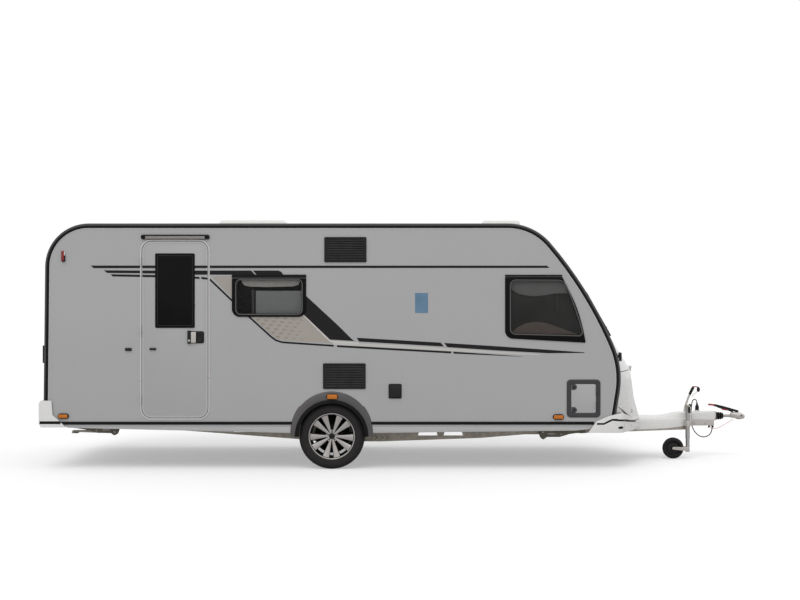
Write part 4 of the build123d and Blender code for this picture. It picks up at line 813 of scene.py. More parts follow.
charcoal_run = ((-0.490, 1.320), (0.351, 1.271), (0.381, 1.232), (-0.468, 1.282))
charcoal_tip = ((0.386, 1.268), (0.944, 1.233), (1.434, 1.199), (1.791, 1.174), (1.789, 1.168),
                (1.434, 1.165), (0.944, 1.191), (0.416, 1.226))
pale_run = ((-0.728, 1.265), (-0.058, 1.231), (0.383, 1.204), (0.944, 1.171), (1.344, 1.151))
beige_field = ((-1.945, 1.936), (-1.059, 1.943), (-1.019, 1.558), (-0.746, 1.268), (-1.234, 1.291),
               (-1.299, 1.316), (-1.341, 1.346), (-1.554, 1.538), (-1.730, 1.703))
blue_panel = ((0.093, 1.568), (0.223, 1.568), (0.223, 1.768), (0.093, 1.768))
dot_origin = (-1.399, 1.493)
dot_steps = ((0.080, -0.008), (0.050, -0.043))
dot_half = (0.0205, 0.0112)


def inside(point, outline):
    """Whether a point lies inside a side-view outline."""
    x, z = point
    hit = False
    for (ax, az), (bx, bz) in zip(outline, outline[1:] + outline[:1]):
        if (az > z) != (bz > z) and x < (bx - ax) * (z - az) / (bz - az) + ax:
            hit = not hit
    return hit


def sheet_of(outlines, y, holes):
    """Thin flat shapes on the right wall, with rectangles cut out of them."""
    bm = bmesh.new()
    for outline in outlines:
        if len(outline) > 2:
            area = sum(ax * bz - bx * az for (ax, az), (bx, bz) in zip(outline, outline[1:] + outline[:1]))
            bm.faces.new([bm.verts.new((x, -y, z)) for x, z in (outline if area < 0 else outline[::-1])])
    for x0, x1, z0, z1 in holes:
        for spot, normal in (((x0, 0, 0), (1, 0, 0)), ((x1, 0, 0), (1, 0, 0)), ((0, 0, z0), (0, 0, 1)),
                             ((0, 0, z1), (0, 0, 1))):
            bmesh.ops.bisect_plane(bm, geom=bm.faces[:] + bm.edges[:] + bm.verts[:], plane_co=spot,
                                   plane_no=normal)
        middles = [(face, face.calc_center_median()) for face in bm.faces]
        hit = [face for face, middle in middles if x0 < middle.x < x1 and z0 < middle.z < z1]
        bmesh.ops.delete(bm, geom=hit, context="FACES")
    bmesh.ops.triangulate(bm, faces=bm.faces)
    return bm


def dots():
    """Ovals of the printed pattern, smaller to the front, where they lie wholly on the field."""
    field = inset_outline(beige_field[::-1], 0.006)
    result = []
    for i in range(-8, 12):
        for j in range(-12, 12):
            x, z = (dot_origin[k] + i * dot_steps[0][k] + j * dot_steps[1][k] for k in (0, 1))
            fade = 1 - 0.45 * max(0, min(1, (x + 1.22) / 0.20))
            rim = [(x + dot_half[0] * fade * c, z + dot_half[1] * fade * s) for c, s in circle(16)]
            if x < -1.035 and z < kitchen_window[2] + 0.01 and all(inside(p, field) for p in rim):
                result.append(rim)
    return result


foil_hidden = 0.024     # foil goes this far under a window's border, past its round corners


def place_foil(name, look, lift, *outlines):
    """One colour of the striping on both walls, with its own part on the door leaf."""
    outlines = [list(o) for o in outlines]
    wall = [between(o, -9, door_band[0]) for o in outlines] + [between(o, door_band[1], 9) for o in outlines]
    leaf = [between(o, door[0] + 0.004, door[1] - 0.004) for o in outlines]
    for suffix, shapes, y, windows, side, body in (
            ("_right", wall, wall_y, (kitchen_window,), -1, "root"),
            ("_door", leaf, leaf_y + 0.0016, (), -1, "entrance_door"),
            ("_left", outlines, wall_y, left_windows, 1, "root")):
        sheet = sheet_of(shapes, y + foil * lift, [grown(size, -foil_hidden) for size in windows])
        if sheet.faces:
            piece(name + suffix, placed(sheet, (0, 0, 0), scale=(1, -side, 1)), look, "trim_black", body)
        else:
            sheet.free()


def make_decals():
    place_foil("beige_field", "decal_beige", 1, beige_field)
    place_foil("dot_print", "decal_dots", 2, *dots())
    place_foil("pale_stripe", "decal_pale", 2, ribbon(pale_run, (0.030, 0.030, 0.028, 0.020, 0.010)))
    place_foil("light_line", "decal_light", 2.5, ribbon(light_fall, (0.010, 0.010, 0.010, 0.008)))
    place_foil("charcoal_stripe", "decal", 3, charcoal_fall, charcoal_run, charcoal_tip)
    place_foil("black_stripe", "decal", 4, stripe_top, stripe_second, stripe_second_end, stripe_third,
               *stripe_dashes, ribbon(stripe_fall, [0.018] * len(stripe_fall)),
               ribbon(stripe_low, [0.019] * len(stripe_low)), ribbon(stripe_low_end, (0.019, 0.013, 0.002)))
    place_foil("blue_panel", "decal_blue", 3, blue_panel)


# ---- windows ----------------------------------------------------------------
blind_y = inner_y + 0.004


def round_corners(points, radii):
    """Side-view outline with each corner rounded; every corner gives the same number of points."""
    result = []
    for i, radius in enumerate(radii):
        before, corner, after = (Vector(points[(i + k) % len(points)]) for k in (-1, 0, 1))
        cut = min(radius, 0.48 * (before - corner).length, 0.48 * (after - corner).length)
        start = corner + (before - corner).normalized() * cut
        end = corner + (after - corner).normalized() * cut
        pull = 0.55
        c1, c2 = start.lerp(corner, pull), end.lerp(corner, pull)
        for k in range(corner_steps + 1):
            t = k / corner_steps
            u = 1 - t
            result.append(tuple(start * u ** 3 + c1 * 3 * t * u ** 2 + c2 * 3 * t * t * u + end * t ** 3))
    return result


def pane_unit(name, outer, inner, side, inside, behind="inside_painted_shade", node=None):
    """Hinged window: dark border with a moulded ridge, tinted pane, reveal and what shows through it.

    outer and inner are (corners, radii) of the pane's edge and of the ridge, counter-clockwise.
    """
    edge, ridge = round_corners(*outer), round_corners(*inner)

    def border(*steps):
        """Lines between the edge (0) and the ridge (1), each so far out from the wall."""
        return [[(ax + (bx - ax) * share, side * (wall_y + out), az + (bz - az) * share)
                 for (ax, az), (bx, bz) in zip(edge, ridge)] for share, out in steps]

    def drawn_in(*steps):
        """Lines inside the ridge by a distance, each so far out from the wall."""
        return [[(x, side * (wall_y + out), z) for x, z in inset_outline(ridge, distance)]
                for distance, out in steps]

    back_out = blind_y - wall_y
    glass = capped(shell_loops(drawn_in((0.001, 0.0133), (0.030, 0.0138))))
    backs = [f for f in glass.faces if len(f.verts) > 4 and abs(f.calc_center_median().y) < wall_y + 0.01335]
    bmesh.ops.delete(glass, geom=backs, context="FACES")
    for suffix, shape, look, stands_for in (
            ("_border", shell_loops(border(
                (0, -0.001), (0, 0.009), (0.05, 0.0118), (0.16, 0.0130), (0.92, 0.0134), (1.0, 0.0134),
                (1.0, 0.0100), (0.75, -0.001)), closed_section=True), "gloss_black", node),
            # the ridge's pale grey is a painted highlight on the dark acrylic
            ("_ridge", shell_loops(drawn_in((-0.006, 0.0130), (-0.003, 0.0140), (0.001, 0.0140),
                                            (0.0045, 0.0130)), closed_section=True), "ridge", None),
            ("_pane", glass, "smoked", None),
            ("_reveal", shell_loops(drawn_in((0.001, 0.0120), (0.004, -0.010), (0.012, back_out))),
             "reveal", None),
            # dark back sheet: painted shade of the unlit interior
            ("_back", capped(shell_loops(drawn_in((-0.002, back_out), (-0.002, back_out - 0.003)))),
             behind, None)):
        piece(name + suffix, shape, look, stands_for=stands_for, sharp=25)
    for k, (outline, look, depth) in enumerate(inside):
        plate = prism(outline, side * (blind_y + 0.001), side * (blind_y + depth))
        piece("%s_inside_%d" % (name, k + 1), plate, look, bevel=0.002)


def window_rail(name, size, side):
    """Hinge rail over a window, with a thin pale strip along its lower part: painted reflection on the pane's
    top border.
    """
    x0, x1, z0, z1 = size
    piece(name, on_wall(*size, -0.001, 0.012, side), "trim", bevel=0.003)
    # pale strip below the rail: painted reflection on the pane's top border
    line = on_wall(x0 + 0.006, x1 - 0.006, z0 - 0.0065, z0 + 0.001, 0.001, 0.0085, side)
    piece(name + "_line", line, "ridge", "trim_black", bevel=0.001)


rail_h = 0.030          # hinge rail
rail_gap = 0.006        # between the rail and the pane
pane_side = 0.040       # ridge in from the sides of a rectangular pane
pane_top = 0.012
pane_foot = 0.024


def rectangular_window(name, size, side, inside, node=None):
    x0, x1, z0, z1 = size
    top = z1 - rail_h - rail_gap
    inner = corners_of(x0 + pane_side, x1 - pane_side, z0 + pane_foot, top - pane_top)
    pane_unit(name, (corners_of(x0, x1, z0, top), (0.080, 0.080, 0.006, 0.006)), (inner, (0.05,) * 4),
              side, inside, node=node)
    window_rail(name + "_rail", (x0, x1, z1 - rail_h, z1), side)


# outline of the front side window and of its ridge: lower rear corner first, then round by the front
front_pane = (((0.9939, 1.3155), (1.8015, 1.2700), (1.7700, 1.4400), (1.7047, 1.6559), (1.5666, 1.9285),
               (0.9939, 1.9285)), (0.075, 0.012, 0.200, 0.200, 0.006, 0.006))
front_ridge = (((1.0470, 1.3570), (1.7780, 1.3380), (1.7530, 1.4400), (1.6860, 1.6480), (1.5850, 1.8950),
                (1.0470, 1.8980)), (0.050, 0.050, 0.200, 0.200, 0.060, 0.055))
front_rail = (0.9939, 1.5666, 1.9335, 1.9503)
front_swag = ((1.055, 1.895), (1.055, 1.815), (1.085, 1.785), (1.140, 1.757), (1.220, 1.742), (1.300, 1.735),
              (1.400, 1.746), (1.500, 1.764), (1.625, 1.764), (1.600, 1.860), (1.580, 1.895))
front_post = corners_of(1.512, 1.527, 1.545, 1.760)
front_seat = ((1.060, 1.360), (1.730, 1.352), (1.640, 1.385), (1.560, 1.415), (1.460, 1.452), (1.370, 1.474),
              (1.280, 1.478), (1.200, 1.462), (1.130, 1.430), (1.085, 1.395))
# pale pelmet at the top of the kitchen window: a curtain shape that also stands in for the light's reflection
# on the pane
kitchen_pelmet_painted_reflection = ((-1.650, 1.905), (-1.640, 1.870), (-1.610, 1.842), (-1.560, 1.832), (-1.400, 1.828),
                  (-1.250, 1.831), (-1.130, 1.834), (-1.075, 1.850), (-1.062, 1.880), (-1.060, 1.905))
kitchen_panel = corners_of(-1.5035, -1.0450, 1.556, 1.790)
kitchen_jamb = corners_of(-1.545, -1.518, 1.556, 1.800)


def make_side_windows():
    rectangular_window("kitchen_window", kitchen_window, -1,
                       ((kitchen_pelmet_painted_reflection, "curtain", 0.012), (kitchen_panel, "blind", 0.006),
                        (kitchen_jamb, "reveal", 0.009)), "side_windows")
    for name, side in (("front_side", -1), ("front_side_left", 1)):
        shown = ((front_swag, "swag", 0.010), (front_post, "reveal", 0.012), (front_seat, "cushion", 0.008))
        pane_unit(name + "_window", front_pane, front_ridge, side, shown, "inside_front_painted_shade")
        window_rail(name + "_rail", front_rail, side)
    for k, size in enumerate(left_windows):
        x0, x1, z0, z1 = size
        band = corners_of(x0 + 0.06, x1 - 0.06, z1 - 0.130, z1 - 0.055)
        drape = corners_of(x0 + 0.06, x0 + 0.20, z0 + 0.03, z1 - 0.050)
        rectangular_window("left_window_%d" % (k + 1), size, 1,
                           ((band, "curtain", 0.012), (drape, "blind", 0.008)))


# ---- door, lids and their hinges --------------------------------------------
hatch_frame_w = 0.045
hatch_lids = [(name, [edge + way * hatch_frame_w for edge, way in zip(opening, (1, -1, 1, -1))], side)
              for name, opening, side in hatches]
hinge_r = 0.006
hinge_l = 0.090
hatch_hinge_rise = 0.070            # hinge from the lid's upper and lower edge
hinge_out = 0.014
lid_out = 0.006                     # lid's face from the wall's face
door_hinge_z = (0.700, 1.390, 2.080)
catch_wall = (-2.809, -2.744, 1.188, 1.218)         # hold-open catch: one half on the wall
catch_leaf = (-2.5635, -2.4985, 1.196, 1.218)       # and the other on the leaf
lock_pad_r = 0.029
lock_pad_top = 0.0085               # from the wall's face
lock_profile = ((0.0, 0.0115), (0.008, 0.0115), (0.0095, 0.010), (0.0095, 0.0))


def leaf_plate(size, radius, face_y, side):
    """Door or lid as thick as the wall, with a rounded outer edge."""
    steps = ((0, inner_y - face_y), (0, -0.003), (0.0012, -0.0008), (0.004, 0))
    return raised(size, radius, steps, side, face_y)


def hinge_bar(x, y, z):
    return bar((x, y, z - hinge_l / 2), (x, y, z + hinge_l / 2), hinge_r)


def on_leaf(name, shape, look, slot=None, node=None, **edges):
    """Piece that rides on the entrance door."""
    piece(name, shape, look, slot, "entrance_door", node, **edges)


def make_door():
    wall_depth = inner_y - wall_y
    frame = ring(grown(door, door_frame_w), door_r + door_frame_w, 0.014, wall_depth, 0.006)
    piece("door_frame", frame, "silver_edge", stands_for="opening_frames", bevel=0.0025)
    seal = ring(grown(door, 0.0055), door_r + 0.005, 0.0035, wall_depth + 0.004, -0.002)
    piece("door_frame_seal", seal, "seal", "trim_black")
    on_leaf("door_leaf_panel", leaf_plate(door, door_r, leaf_y, -1), "silver", node="door_leaf", sharp=60)
    pane = raised(door_window, 0.014, ((0, 0), (0, 0.005), (0.002, 0.0075), (0.010, 0.008)),
                  face_y=leaf_y, fall=1)
    on_leaf("door_window_pane", pane, "gloss_black", node="door_glass", sharp=25)
    for name, size, radius, width, near, far, look, slot in (
            ("door_edge_band", grown(door, -0.0005), door_r, 0.026, 0, 0.0010, "silver", None),
            ("door_edge_line", grown(door, -0.005), door_r - 0.005, 0.005, 0, 0.0022, "silver_edge", None),
            ("door_window_line", grown(door_window, -0.022), 0.008, 0.0025, 0.0078, 0.0082, "hatch_grey",
             "window_dark")):
        on_leaf(name, ring(size, radius, width, near, far, face_y=leaf_y), look, slot)
    on_leaf("door_window_back", on_wall(*door_window, -0.002, 0, face_y=inner_y), "gloss_black", bevel=0.0008)
    hinges = [hinge_bar(door[0] - 0.011, -(leaf_y + hinge_out), z) for z in door_hinge_z]
    piece("door_hinges", hinges, "silver_edge", bevel=0.001)


def make_door_furniture():
    x0, x1, z0, z1 = side_view("door_handle")
    middle = (z0 + z1) / 2 - 0.002
    plate = raised((x0, x1, z0 + 0.004, z1 - 0.006), 0.020,
                   ((0, 0), (0, 0.005), (0.003, 0.008), (0.010, 0.008)), face_y=leaf_y)
    on_leaf("door_handle_plate", plate, "plastic", node="door_handle", sharp=25)
    post = on_wall(x0, x0 + 0.034, z0, z1, 0.001, 0.025, face_y=leaf_y)
    on_leaf("door_handle_post", post, "grip", "black_plastic", bevel=0.005, segments=3)
    paddle = on_wall(x0 + 0.036, x0 + 0.086, z0 + 0.010, z1 - 0.014, 0.013, 0.025, face_y=leaf_y)
    on_leaf("door_handle_paddle", paddle, "painted_steel", "black_plastic", bevel=0.004, segments=3)
    turns = [math.radians(a) for a in range(-90, 91, 10)]
    bowl = [[(x0 + 0.092 + r_x * math.cos(a), -(leaf_y + out), middle + r_z * math.sin(a)) for a in turns]
            for r_x, r_z, out in ((0.066, 0.056, 0.006), (0.064, 0.054, 0.014), (0.056, 0.046, 0.016),
                                  (0.050, 0.040, 0.010), (0.044, 0.034, 0.0085))]
    on_leaf("door_handle_bowl", capped(shell_loops(bowl)), "plastic", sharp=30)
    lock = lathe(((0.0, 0.0258), (0.010, 0.0258), (0.012, 0.0245), (0.012, 0.020)), 24)
    on_leaf("door_lock", placed(lock, (x0 + 0.017, -leaf_y, z0 + 0.030), 180), "bright", "black_plastic")
    piece("door_catch_wall", on_wall(*catch_wall, 0, 0.016), "plastic", bevel=0.004)
    on_leaf("door_catch_leaf", on_wall(*catch_leaf, 0, 0.014, face_y=leaf_y), "plastic", bevel=0.004)


def make_hatches():
    """Frames, lids and hinges of the two hatches, with a lock on a round pad in each free corner."""
    frames = [ring(opening, 0.04, hatch_frame_w, -0.010, 0.008, side) for name, opening, side in hatches]
    piece("hatch_frames", frames, "hatch_grey", bevel=0.003, sharp=50)
    hinges = []
    for name, lid, side in hatch_lids:
        x0, x1, z0, z1 = lid
        piece(name + "_panel", leaf_plate(lid, 0.018, wall_y + lid_out, side), "silver", body=name,
              stands_for=name, sharp=60)
        x, out = x1 + 0.008, lid_out + hinge_out
        for z in (z0 + hatch_hinge_rise, z1 - hatch_hinge_rise):
            hinges += [hinge_bar(x, side * (wall_y + out), z),
                       on_wall(x - hinge_r * 0.8, x + hinge_r * 0.8, z - hinge_l / 2, z - hinge_l / 6, 0, out,
                               side)]
        pads, locks = [], []
        for z, way in ((z0, 1), (z1, -1)):
            lock_x, lock_z = x0 + 0.028, z + way * 0.030
            outline = [(x0 + 0.003, lock_z + way * lock_pad_r), (x0 + 0.003, lock_z - way * lock_pad_r)]
            outline += [(lock_x + lock_pad_r * math.cos(a), lock_z + lock_pad_r * math.sin(a))
                        for a in [math.radians(way * degrees) for degrees in range(-90, 95, 10)]]
            pads.append(prism(outline, side * wall_y, side * (wall_y + lock_pad_top)))
            locks.append(placed(lathe(lock_profile, 24), (lock_x, side * wall_y, lock_z), 90 - side * 90))
        piece(name + "_pads", pads, "hatch_grey", body=name, bevel=0.0015)
        piece(name + "_locks", locks, "plastic", body=name)
    piece("hatch_hinges", hinges, "hatch_grey", bevel=0.001)


# ---- fittings of the walls --------------------------------------------------
# a slat's section: out from the wall, rise in shares of the pitch
slat_section = ((0.0015, 0.95), (0.0115, 0.28), (0.0115, 0.10), (0.0095, 0.06), (0.0015, 0.62))
slat_count = 9


def vent(size):
    """Louvred vent cover: raised rim, slats and two ribs."""
    x0, x1, z0, z1 = size
    pitch = (z1 - z0 - 0.036) / slat_count
    slats = [beam([[(x, -(wall_y + out), z0 + 0.018 + pitch * (k + rise)) for x in (x0 + 0.012, x1 - 0.012)]
                   for out, rise in slat_section]) for k in range(slat_count)]
    ribs = [on_wall(x - 0.003, x + 0.003, z0 + 0.012, z1 - 0.012, 0.002, 0.0118)
            for x in (x0 + (x1 - x0) / 3, x1 - (x1 - x0) / 3)]
    return [ring(size, 0.012, 0.016, -0.001, 0.012), on_wall(*grown(size, -0.010), -0.001, 0.002), *slats,
            *ribs]


amber_lamps = ((-3.4825, -3.3725, 0.508, 0.563), (-0.795, -0.676, 0.699, 0.762),
               (1.4715, 1.5845, 0.499, 0.555))
bezel_steps = ((0, -0.001), (0.001, 0.0185), (0.004, 0.0215), (0.009, 0.0215))
lens_steps = ((0.009, 0.0175), (0.009, 0.0235), (0.012, 0.0265), (0.018, 0.0275))


def make_fittings():
    """Vents, socket box, side lamps and awning light."""
    piece("fridge_vents", vent(vents[0]) + vent(vents[1]), "plastic", stands_for="wall_fittings",
          bevel=0.0012, segments=1, sharp=50)
    lenses = [raised(size, 0.015, lens_steps, side, fall=0.5) for size in amber_lamps for side in (-1, 1)]
    piece("amber_lamp_lenses", lenses, "amber", stands_for="amber_reflectors", sharp=25)
    bezels = [raised(size, 0.026, bezel_steps, side) for size in amber_lamps for side in (-1, 1)]
    piece("amber_lamp_bezels", bezels, "seal", sharp=25)
    x0, x1, z0, z1 = side_view("awning_light")
    for name, size, radius, steps, look, slot, node in (
            ("socket_box_base", socket_box, 0.014, ((0, -0.001), (0, 0.006), (0.003, 0.009), (0.008, 0.009)),
             "plastic", None, None),
            ("socket_box_lid", (*socket_box[:3], socket_box[3] - 0.006), 0.010,
             ((0.009, 0.009), (0.010, 0.020), (0.014, 0.0245), (0.022, 0.0258)), "grip", "black_plastic",
             None),
            ("awning_light_housing", (x0, x1, z0, z1), 0.018,
             ((0, 0), (0, 0.016), (0.005, 0.022), (0.012, 0.022)), "plastic", None, "awning_light"),
            ("awning_light_lens", (x0 + 0.045, x1 - 0.045, z0 + 0.005, z1 - 0.017), 0.008,
             ((0, 0.018), (0, 0.0235), (0.004, 0.026)), "smoked_lens", None, None)):
        piece(name, raised(size, radius, steps), look, slot, stands_for=node, sharp=25)


# ---- trims of the lower edge ------------------------------------------------
trim_z = [corner.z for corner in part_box("lower_trims")]
trim_runs = ((-3.500, -1.131), (-0.352, 1.886))     # the flares' edges at this height
skirt_runs = (((-3.390, 0.418), (-1.150, 0.366)), ((-0.332, 0.366), (1.702, 0.390), (1.855, 0.405)))


def make_lower_trims():
    strips = [on_wall(x0, x1, *trim_z, -0.001, 0.008) for x0, x1 in trim_runs]
    piece("lower_trim_strips", mirrored(*strips), "trim", stands_for="lower_trims", bevel=0.0035)
    panels = [prism((*run, (run[-1][0], body_foot_z), (run[0][0], body_foot_z)), -wall_y, -(wall_y - 0.010))
              for run in skirt_runs]
    piece("skirt_panels", mirrored(*panels), "skirt", stands_for="skirts", bevel=0.003)


# ---- rear lamps -------------------------------------------------------------
marker_x = -3.4465
marker_split = marker_x + 0.029     # where its red lens meets the clear one
marker_z = 2.085
marker_out = 0.021
lamp_z = (0.508, 0.632)
lamp_spans = {"red": ((0.962, 1.072), (0.712, 0.782)), "amber": ((0.872, 0.956),),
              "clear": ((0.788, 0.866),)}      # out from the middle plane
lamp_bezel = (0.700, 1.080, 0.500, 0.640)


def make_rear_lamps():
    """Lamp clusters on the bumper, and a small marker high on each side, joined by colour."""
    def marker(x0, x1, z0, z1):
        return on_wall(x0, x1, marker_z + z0, marker_z + z1, 0, marker_out)

    lamp_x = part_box("red_lamps")[0].x

    def lenses(colour):
        return [box(lamp_x, lamp_x + 0.012, *span, *lamp_z) for span in lamp_spans[colour]]

    # narrow opaque white front lens: the marker's clear part and also a painted highlight
    piece("rear_markers_clear_and_highlight", mirrored(marker(marker_split, marker_split + 0.008, 0.058, 0.099)), "white",
          "lamp_clear", bevel=0.005, segments=3)
    # foot, and a dark backing under the white lens that is painted shade on the lamp's side
    foot = (marker(marker_x + 0.004, marker_split + 0.008, -0.004, 0.006),
            marker(marker_split, marker_split + 0.009, 0.006, 0.056))
    piece("rear_markers_foot_and_shade", mirrored(*foot), "trim", "black_plastic", bevel=0.003)
    red = mirrored(marker(marker_x, marker_split, 0.004, 0.103), *lenses("red"))
    piece("rear_red_lenses", red, "red_lens", stands_for="red_lamps", bevel=0.004, segments=3)
    for colour, look in (("amber", "amber"), ("clear", "clear_lens")):
        piece("rear_%s_lenses" % colour, mirrored(*lenses(colour)), look, bevel=0.004, segments=3)
    bezel = box(lamp_x + 0.004, lamp_x + 0.016, *lamp_bezel)
    piece("rear_lamp_bezels", mirrored(bezel), "plastic", bevel=0.002)


# ---- pieces laid on the CAD's faces -----------------------------------------
def face_finder(node):
    """Ray search on a CAD node: gives the first point hit and its normal."""
    bm = bmesh.new()
    bm.from_mesh(nodes[node].data)
    tree = BVHTree.FromBMesh(bm)
    bm.free()
    return lambda origin, direction: tree.ray_cast(Vector(origin), Vector(direction))[:2]


def laid_strip(find, rays, width, lift, closed=False):
    """Raised strip along the points where rays meet a face."""
    hits = [(point, normal) for point, normal in (find(*ray) for ray in rays) if point]
    loops = [[] for _ in range(6)]
    count = len(hits)
    for i, (point, normal) in enumerate(hits):
        ahead = hits[(i + 1) % count if closed else min(i + 1, count - 1)][0]
        behind = hits[i - 1 if closed else max(i - 1, 0)][0]
        side = normal.cross((ahead - behind).normalized()).normalized() * width / 2
        for loop, (share, out) in zip(loops, ((-1, -0.002), (-1, lift * 0.6), (-0.8, lift), (0.8, lift),
                                              (1, lift * 0.6), (1, -0.002))):
            loop.append(point + side * share + normal * out)
    return shell_loops(loops, closed_section=True) if closed else beam(loops)


def finely(points, closed=False):
    """Line with points added so that none are more than 30 mm apart."""
    result = []
    for a, b in zip(points, points[1:] + (points[:1] if closed else points[:0])):
        a, b = Vector(a), Vector(b)
        count = max(1, math.ceil((b - a).length / 0.03))
        result += [tuple(a.lerp(b, i / count)) for i in range(count)]
    return result if closed else result + [tuple(points[-1])]


# ---- windows of the two ends ------------------------------------------------
# name, opening (y0, y1, z0, z1), where its rays start, their way, corner radius of its seal
end_windows = (("front", (-0.820, 0.820, 1.330, 2.080), 4.0, -1, 0.02),
               ("rear", (-0.640, 0.640, 1.340, 1.960), -5.0, 1, 0.064))
end_ridge = 0.040       # ridge in from the edge of an end window


def make_end_windows():
    find = face_finder("end_windows")
    for name, size, x, way, seal_r in end_windows:
        for suffix, inset, radius, width, lift, look, slot in (
                # the end windows' ridge in the same pale grey: painted highlight
                ("_window_ridge", end_ridge, 0.07, 0.011, 0.0018, "ridge", "window_dark"),
                ("_window_seal", 0.006, seal_r, 0.010, 0.0012, "seal", "trim_black")):
            line = finely(rounded(grown(size, -inset), radius), closed=True)
            strip = laid_strip(find, [((x, y, z), (way, 0, 0)) for y, z in line], width, lift, closed=True)
            piece(name + suffix, strip, look, slot)
        y0, y1, z0, z1 = size
        hits = [find((x, y, z0 + 0.085), (way, 0, 0)) for y in (y0 + 0.25, y1 - 0.25)]
        catches = [bar(point, point + normal * 0.006, 0.013, 24, 0.010) for point, normal in hits]
        piece(name + "_window_catches", catches, "grip", "window_dark")


# ---- rear bumper ------------------------------------------------------------
bumper_strip_z = 0.471
plate_half_w = 0.260
plate_z = (0.525, 0.635)
holder_edge = 0.008     # how far the holder shows round the plate


def make_rear_bumper():
    softened("rear_bumper", "white", bevel=0.010, segments=4)
    find = face_finder("rear_bumper")
    rows = [[((x, side * 2, bumper_strip_z), (0, -side, 0)) for x in (-3.452, -3.520, -3.600, -3.662)]
            for side in (-1, 1)]
    rows.append([((-5, y, bumper_strip_z), (1, 0, 0)) for y in (-1.150, -0.6, 0, 0.6, 1.150)])
    piece("bumper_strip", [laid_strip(find, rays, 0.028, 0.002) for rays in rows], "trim")
    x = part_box("rear_bumper")[0].x
    plate = -plate_half_w, plate_half_w, *plate_z
    piece("number_plate", box(x - 0.004, x + 0.002, *plate), "plate", bevel=0.0015)
    piece("number_plate_holder", box(x - 0.0025, x + 0.002, *grown(plate, holder_edge)), "trim", bevel=0.001)
    piece("number_plate_lights", mirrored(box(x - 0.010, x + 0.006, 0.108, 0.172, 0.650, 0.668)), "plastic",
          bevel=0.004)
    piece("rear_reflectors", mirrored(box(x - 0.006, x + 0.002, 0.555, 0.645, 0.5, 0.53)), "red_lens",
          bevel=0.003)


# ---- front end --------------------------------------------------------------
# the apron's strip, on its side (x, z) and on its front (y, z)
strip_side = ((1.9125, 0.459), (1.982, 0.459), (2.065, 0.500), (2.118, 0.500))
strip_front = ((1.04, 0.4800), (1.00, 0.477), (0.85, 0.462), (0.70, 0.450), (0.60, 0.448))
corner_x, corner_y = 2.05, 0.98     # the apron's corner turns round this point
lid_edge_line = ((0.660, 0.455), (1.000, 0.600), (1.068, 0.625))     # lower edge of the lid: y, z
lid_lean = 0.158                    # how fast the nose falls back towards its foot
corner_gap = 0.007
corner_foot = 0.452
nose_ray_z = 0.660                  # height of the rays that find the nose
recess_x, recess_z = 2.155, 0.420   # round recess on each side of the apron, drawn as a dark disc: painted shade of the hollow
recess_r = 0.032
locker_lock_y, locker_lock_z = 0.72, 0.56


def locker_corner(find, side):
    """Fixed panel that fills the nose below the lid's cut-away corner."""
    rows = []
    for y, edge in finely(lid_edge_line):
        top = max(edge - corner_gap, corner_foot + 0.0005)
        point = find((4, side * y, nose_ray_z), (-1, 0, 0))[0]
        rows.append([(point.x - (nose_ray_z - z) * lid_lean - inward, point.y, z) for z, inward in (
            (top, 0.006), (top, 0.001), (corner_foot, 0.001), (corner_foot, 0.006))])
    return capped(shell_loops(rows))


def apron_strip(find, side):
    rays = [((x, side * 2, z), (0, -side, 0)) for x, z in finely(strip_side)]
    for turn in range(86, 3, -3):
        c, s = math.cos(math.radians(turn)), math.sin(math.radians(turn))
        start = (corner_x + 2 * c, side * (corner_y + 2 * s), 0.480 + 0.00023 * turn)
        rays.append((start, (-c, -side * s, 0)))
    rays += [((4, side * y, z), (-1, 0, 0)) for y, z in finely(strip_front)]
    return laid_strip(find, rays, 0.018, 0.0020)


def apron_recess(find, side):
    point, normal = find((recess_x, side * 2, recess_z), (0, -side, 0))
    disc = bar((0, 0, -0.004), (0, 0, 0.0012), recess_r, 40, recess_r - 0.001)
    disc.transform(Matrix.Translation(point) @ normal.to_track_quat("Z", "X").to_matrix().to_4x4() @
                   Matrix.Diagonal((0.42, 1, 1, 1)))
    return disc


def make_front():
    softened("front_apron", "white")
    find = face_finder("front_apron")
    piece("apron_strips", [apron_strip(find, side) for side in (-1, 1)], "trim")
    # dark discs: painted shade of the apron's round hollows
    piece("apron_recess_shades", [apron_recess(find, side) for side in (-1, 1)], "plastic")
    find = face_finder("locker_lid")
    piece("locker_corners", [locker_corner(find, side) for side in (-1, 1)], "white", "body_panel")
    softened("locker_lid", "white", "body_panel", "locker_lid", sharp=60)
    locks = []
    for y in (-locker_lock_y, locker_lock_y):
        point, normal = find((4, y, locker_lock_z), (-1, 0, 0))
        locks += [bar(point - normal * 0.002, point + normal * 0.010, 0.026, 32, 0.022),
                  bar(point + normal * 0.008, point + normal * 0.014, 0.012, 24, 0.010)]
    piece("locker_lid_locks", locks, "pale", "black_plastic", "locker_lid", bevel=0.001)


# ---- drawbar cover ----------------------------------------------------------
# cover of the drawbar: x, half width, foot, shoulder, top of the middle, half width of the raised middle
cover_stations = (
    (2.440, 0.3130, 0.320, 0.430, 0.4415, 0.20), (2.500, 0.2925, 0.322, 0.432, 0.4420, 0.19),
    (2.620, 0.2520, 0.324, 0.432, 0.4430, 0.17), (2.740, 0.2110, 0.326, 0.431, 0.4450, 0.15),
    (2.812, 0.1860, 0.329, 0.430, 0.4520, 0.13), (2.860, 0.1700, 0.332, 0.429, 0.4660, 0.115),
    (2.910, 0.1530, 0.336, 0.428, 0.4810, 0.105), (2.960, 0.1370, 0.340, 0.426, 0.4885, 0.100),
    (3.010, 0.1180, 0.356, 0.424, 0.4930, 0.096), (3.045, 0.1020, 0.372, 0.421, 0.4925, 0.090),
    (3.068, 0.0880, 0.390, 0.417, 0.4790, 0.082), (3.082, 0.0740, 0.402, 0.412, 0.4500, 0.070))


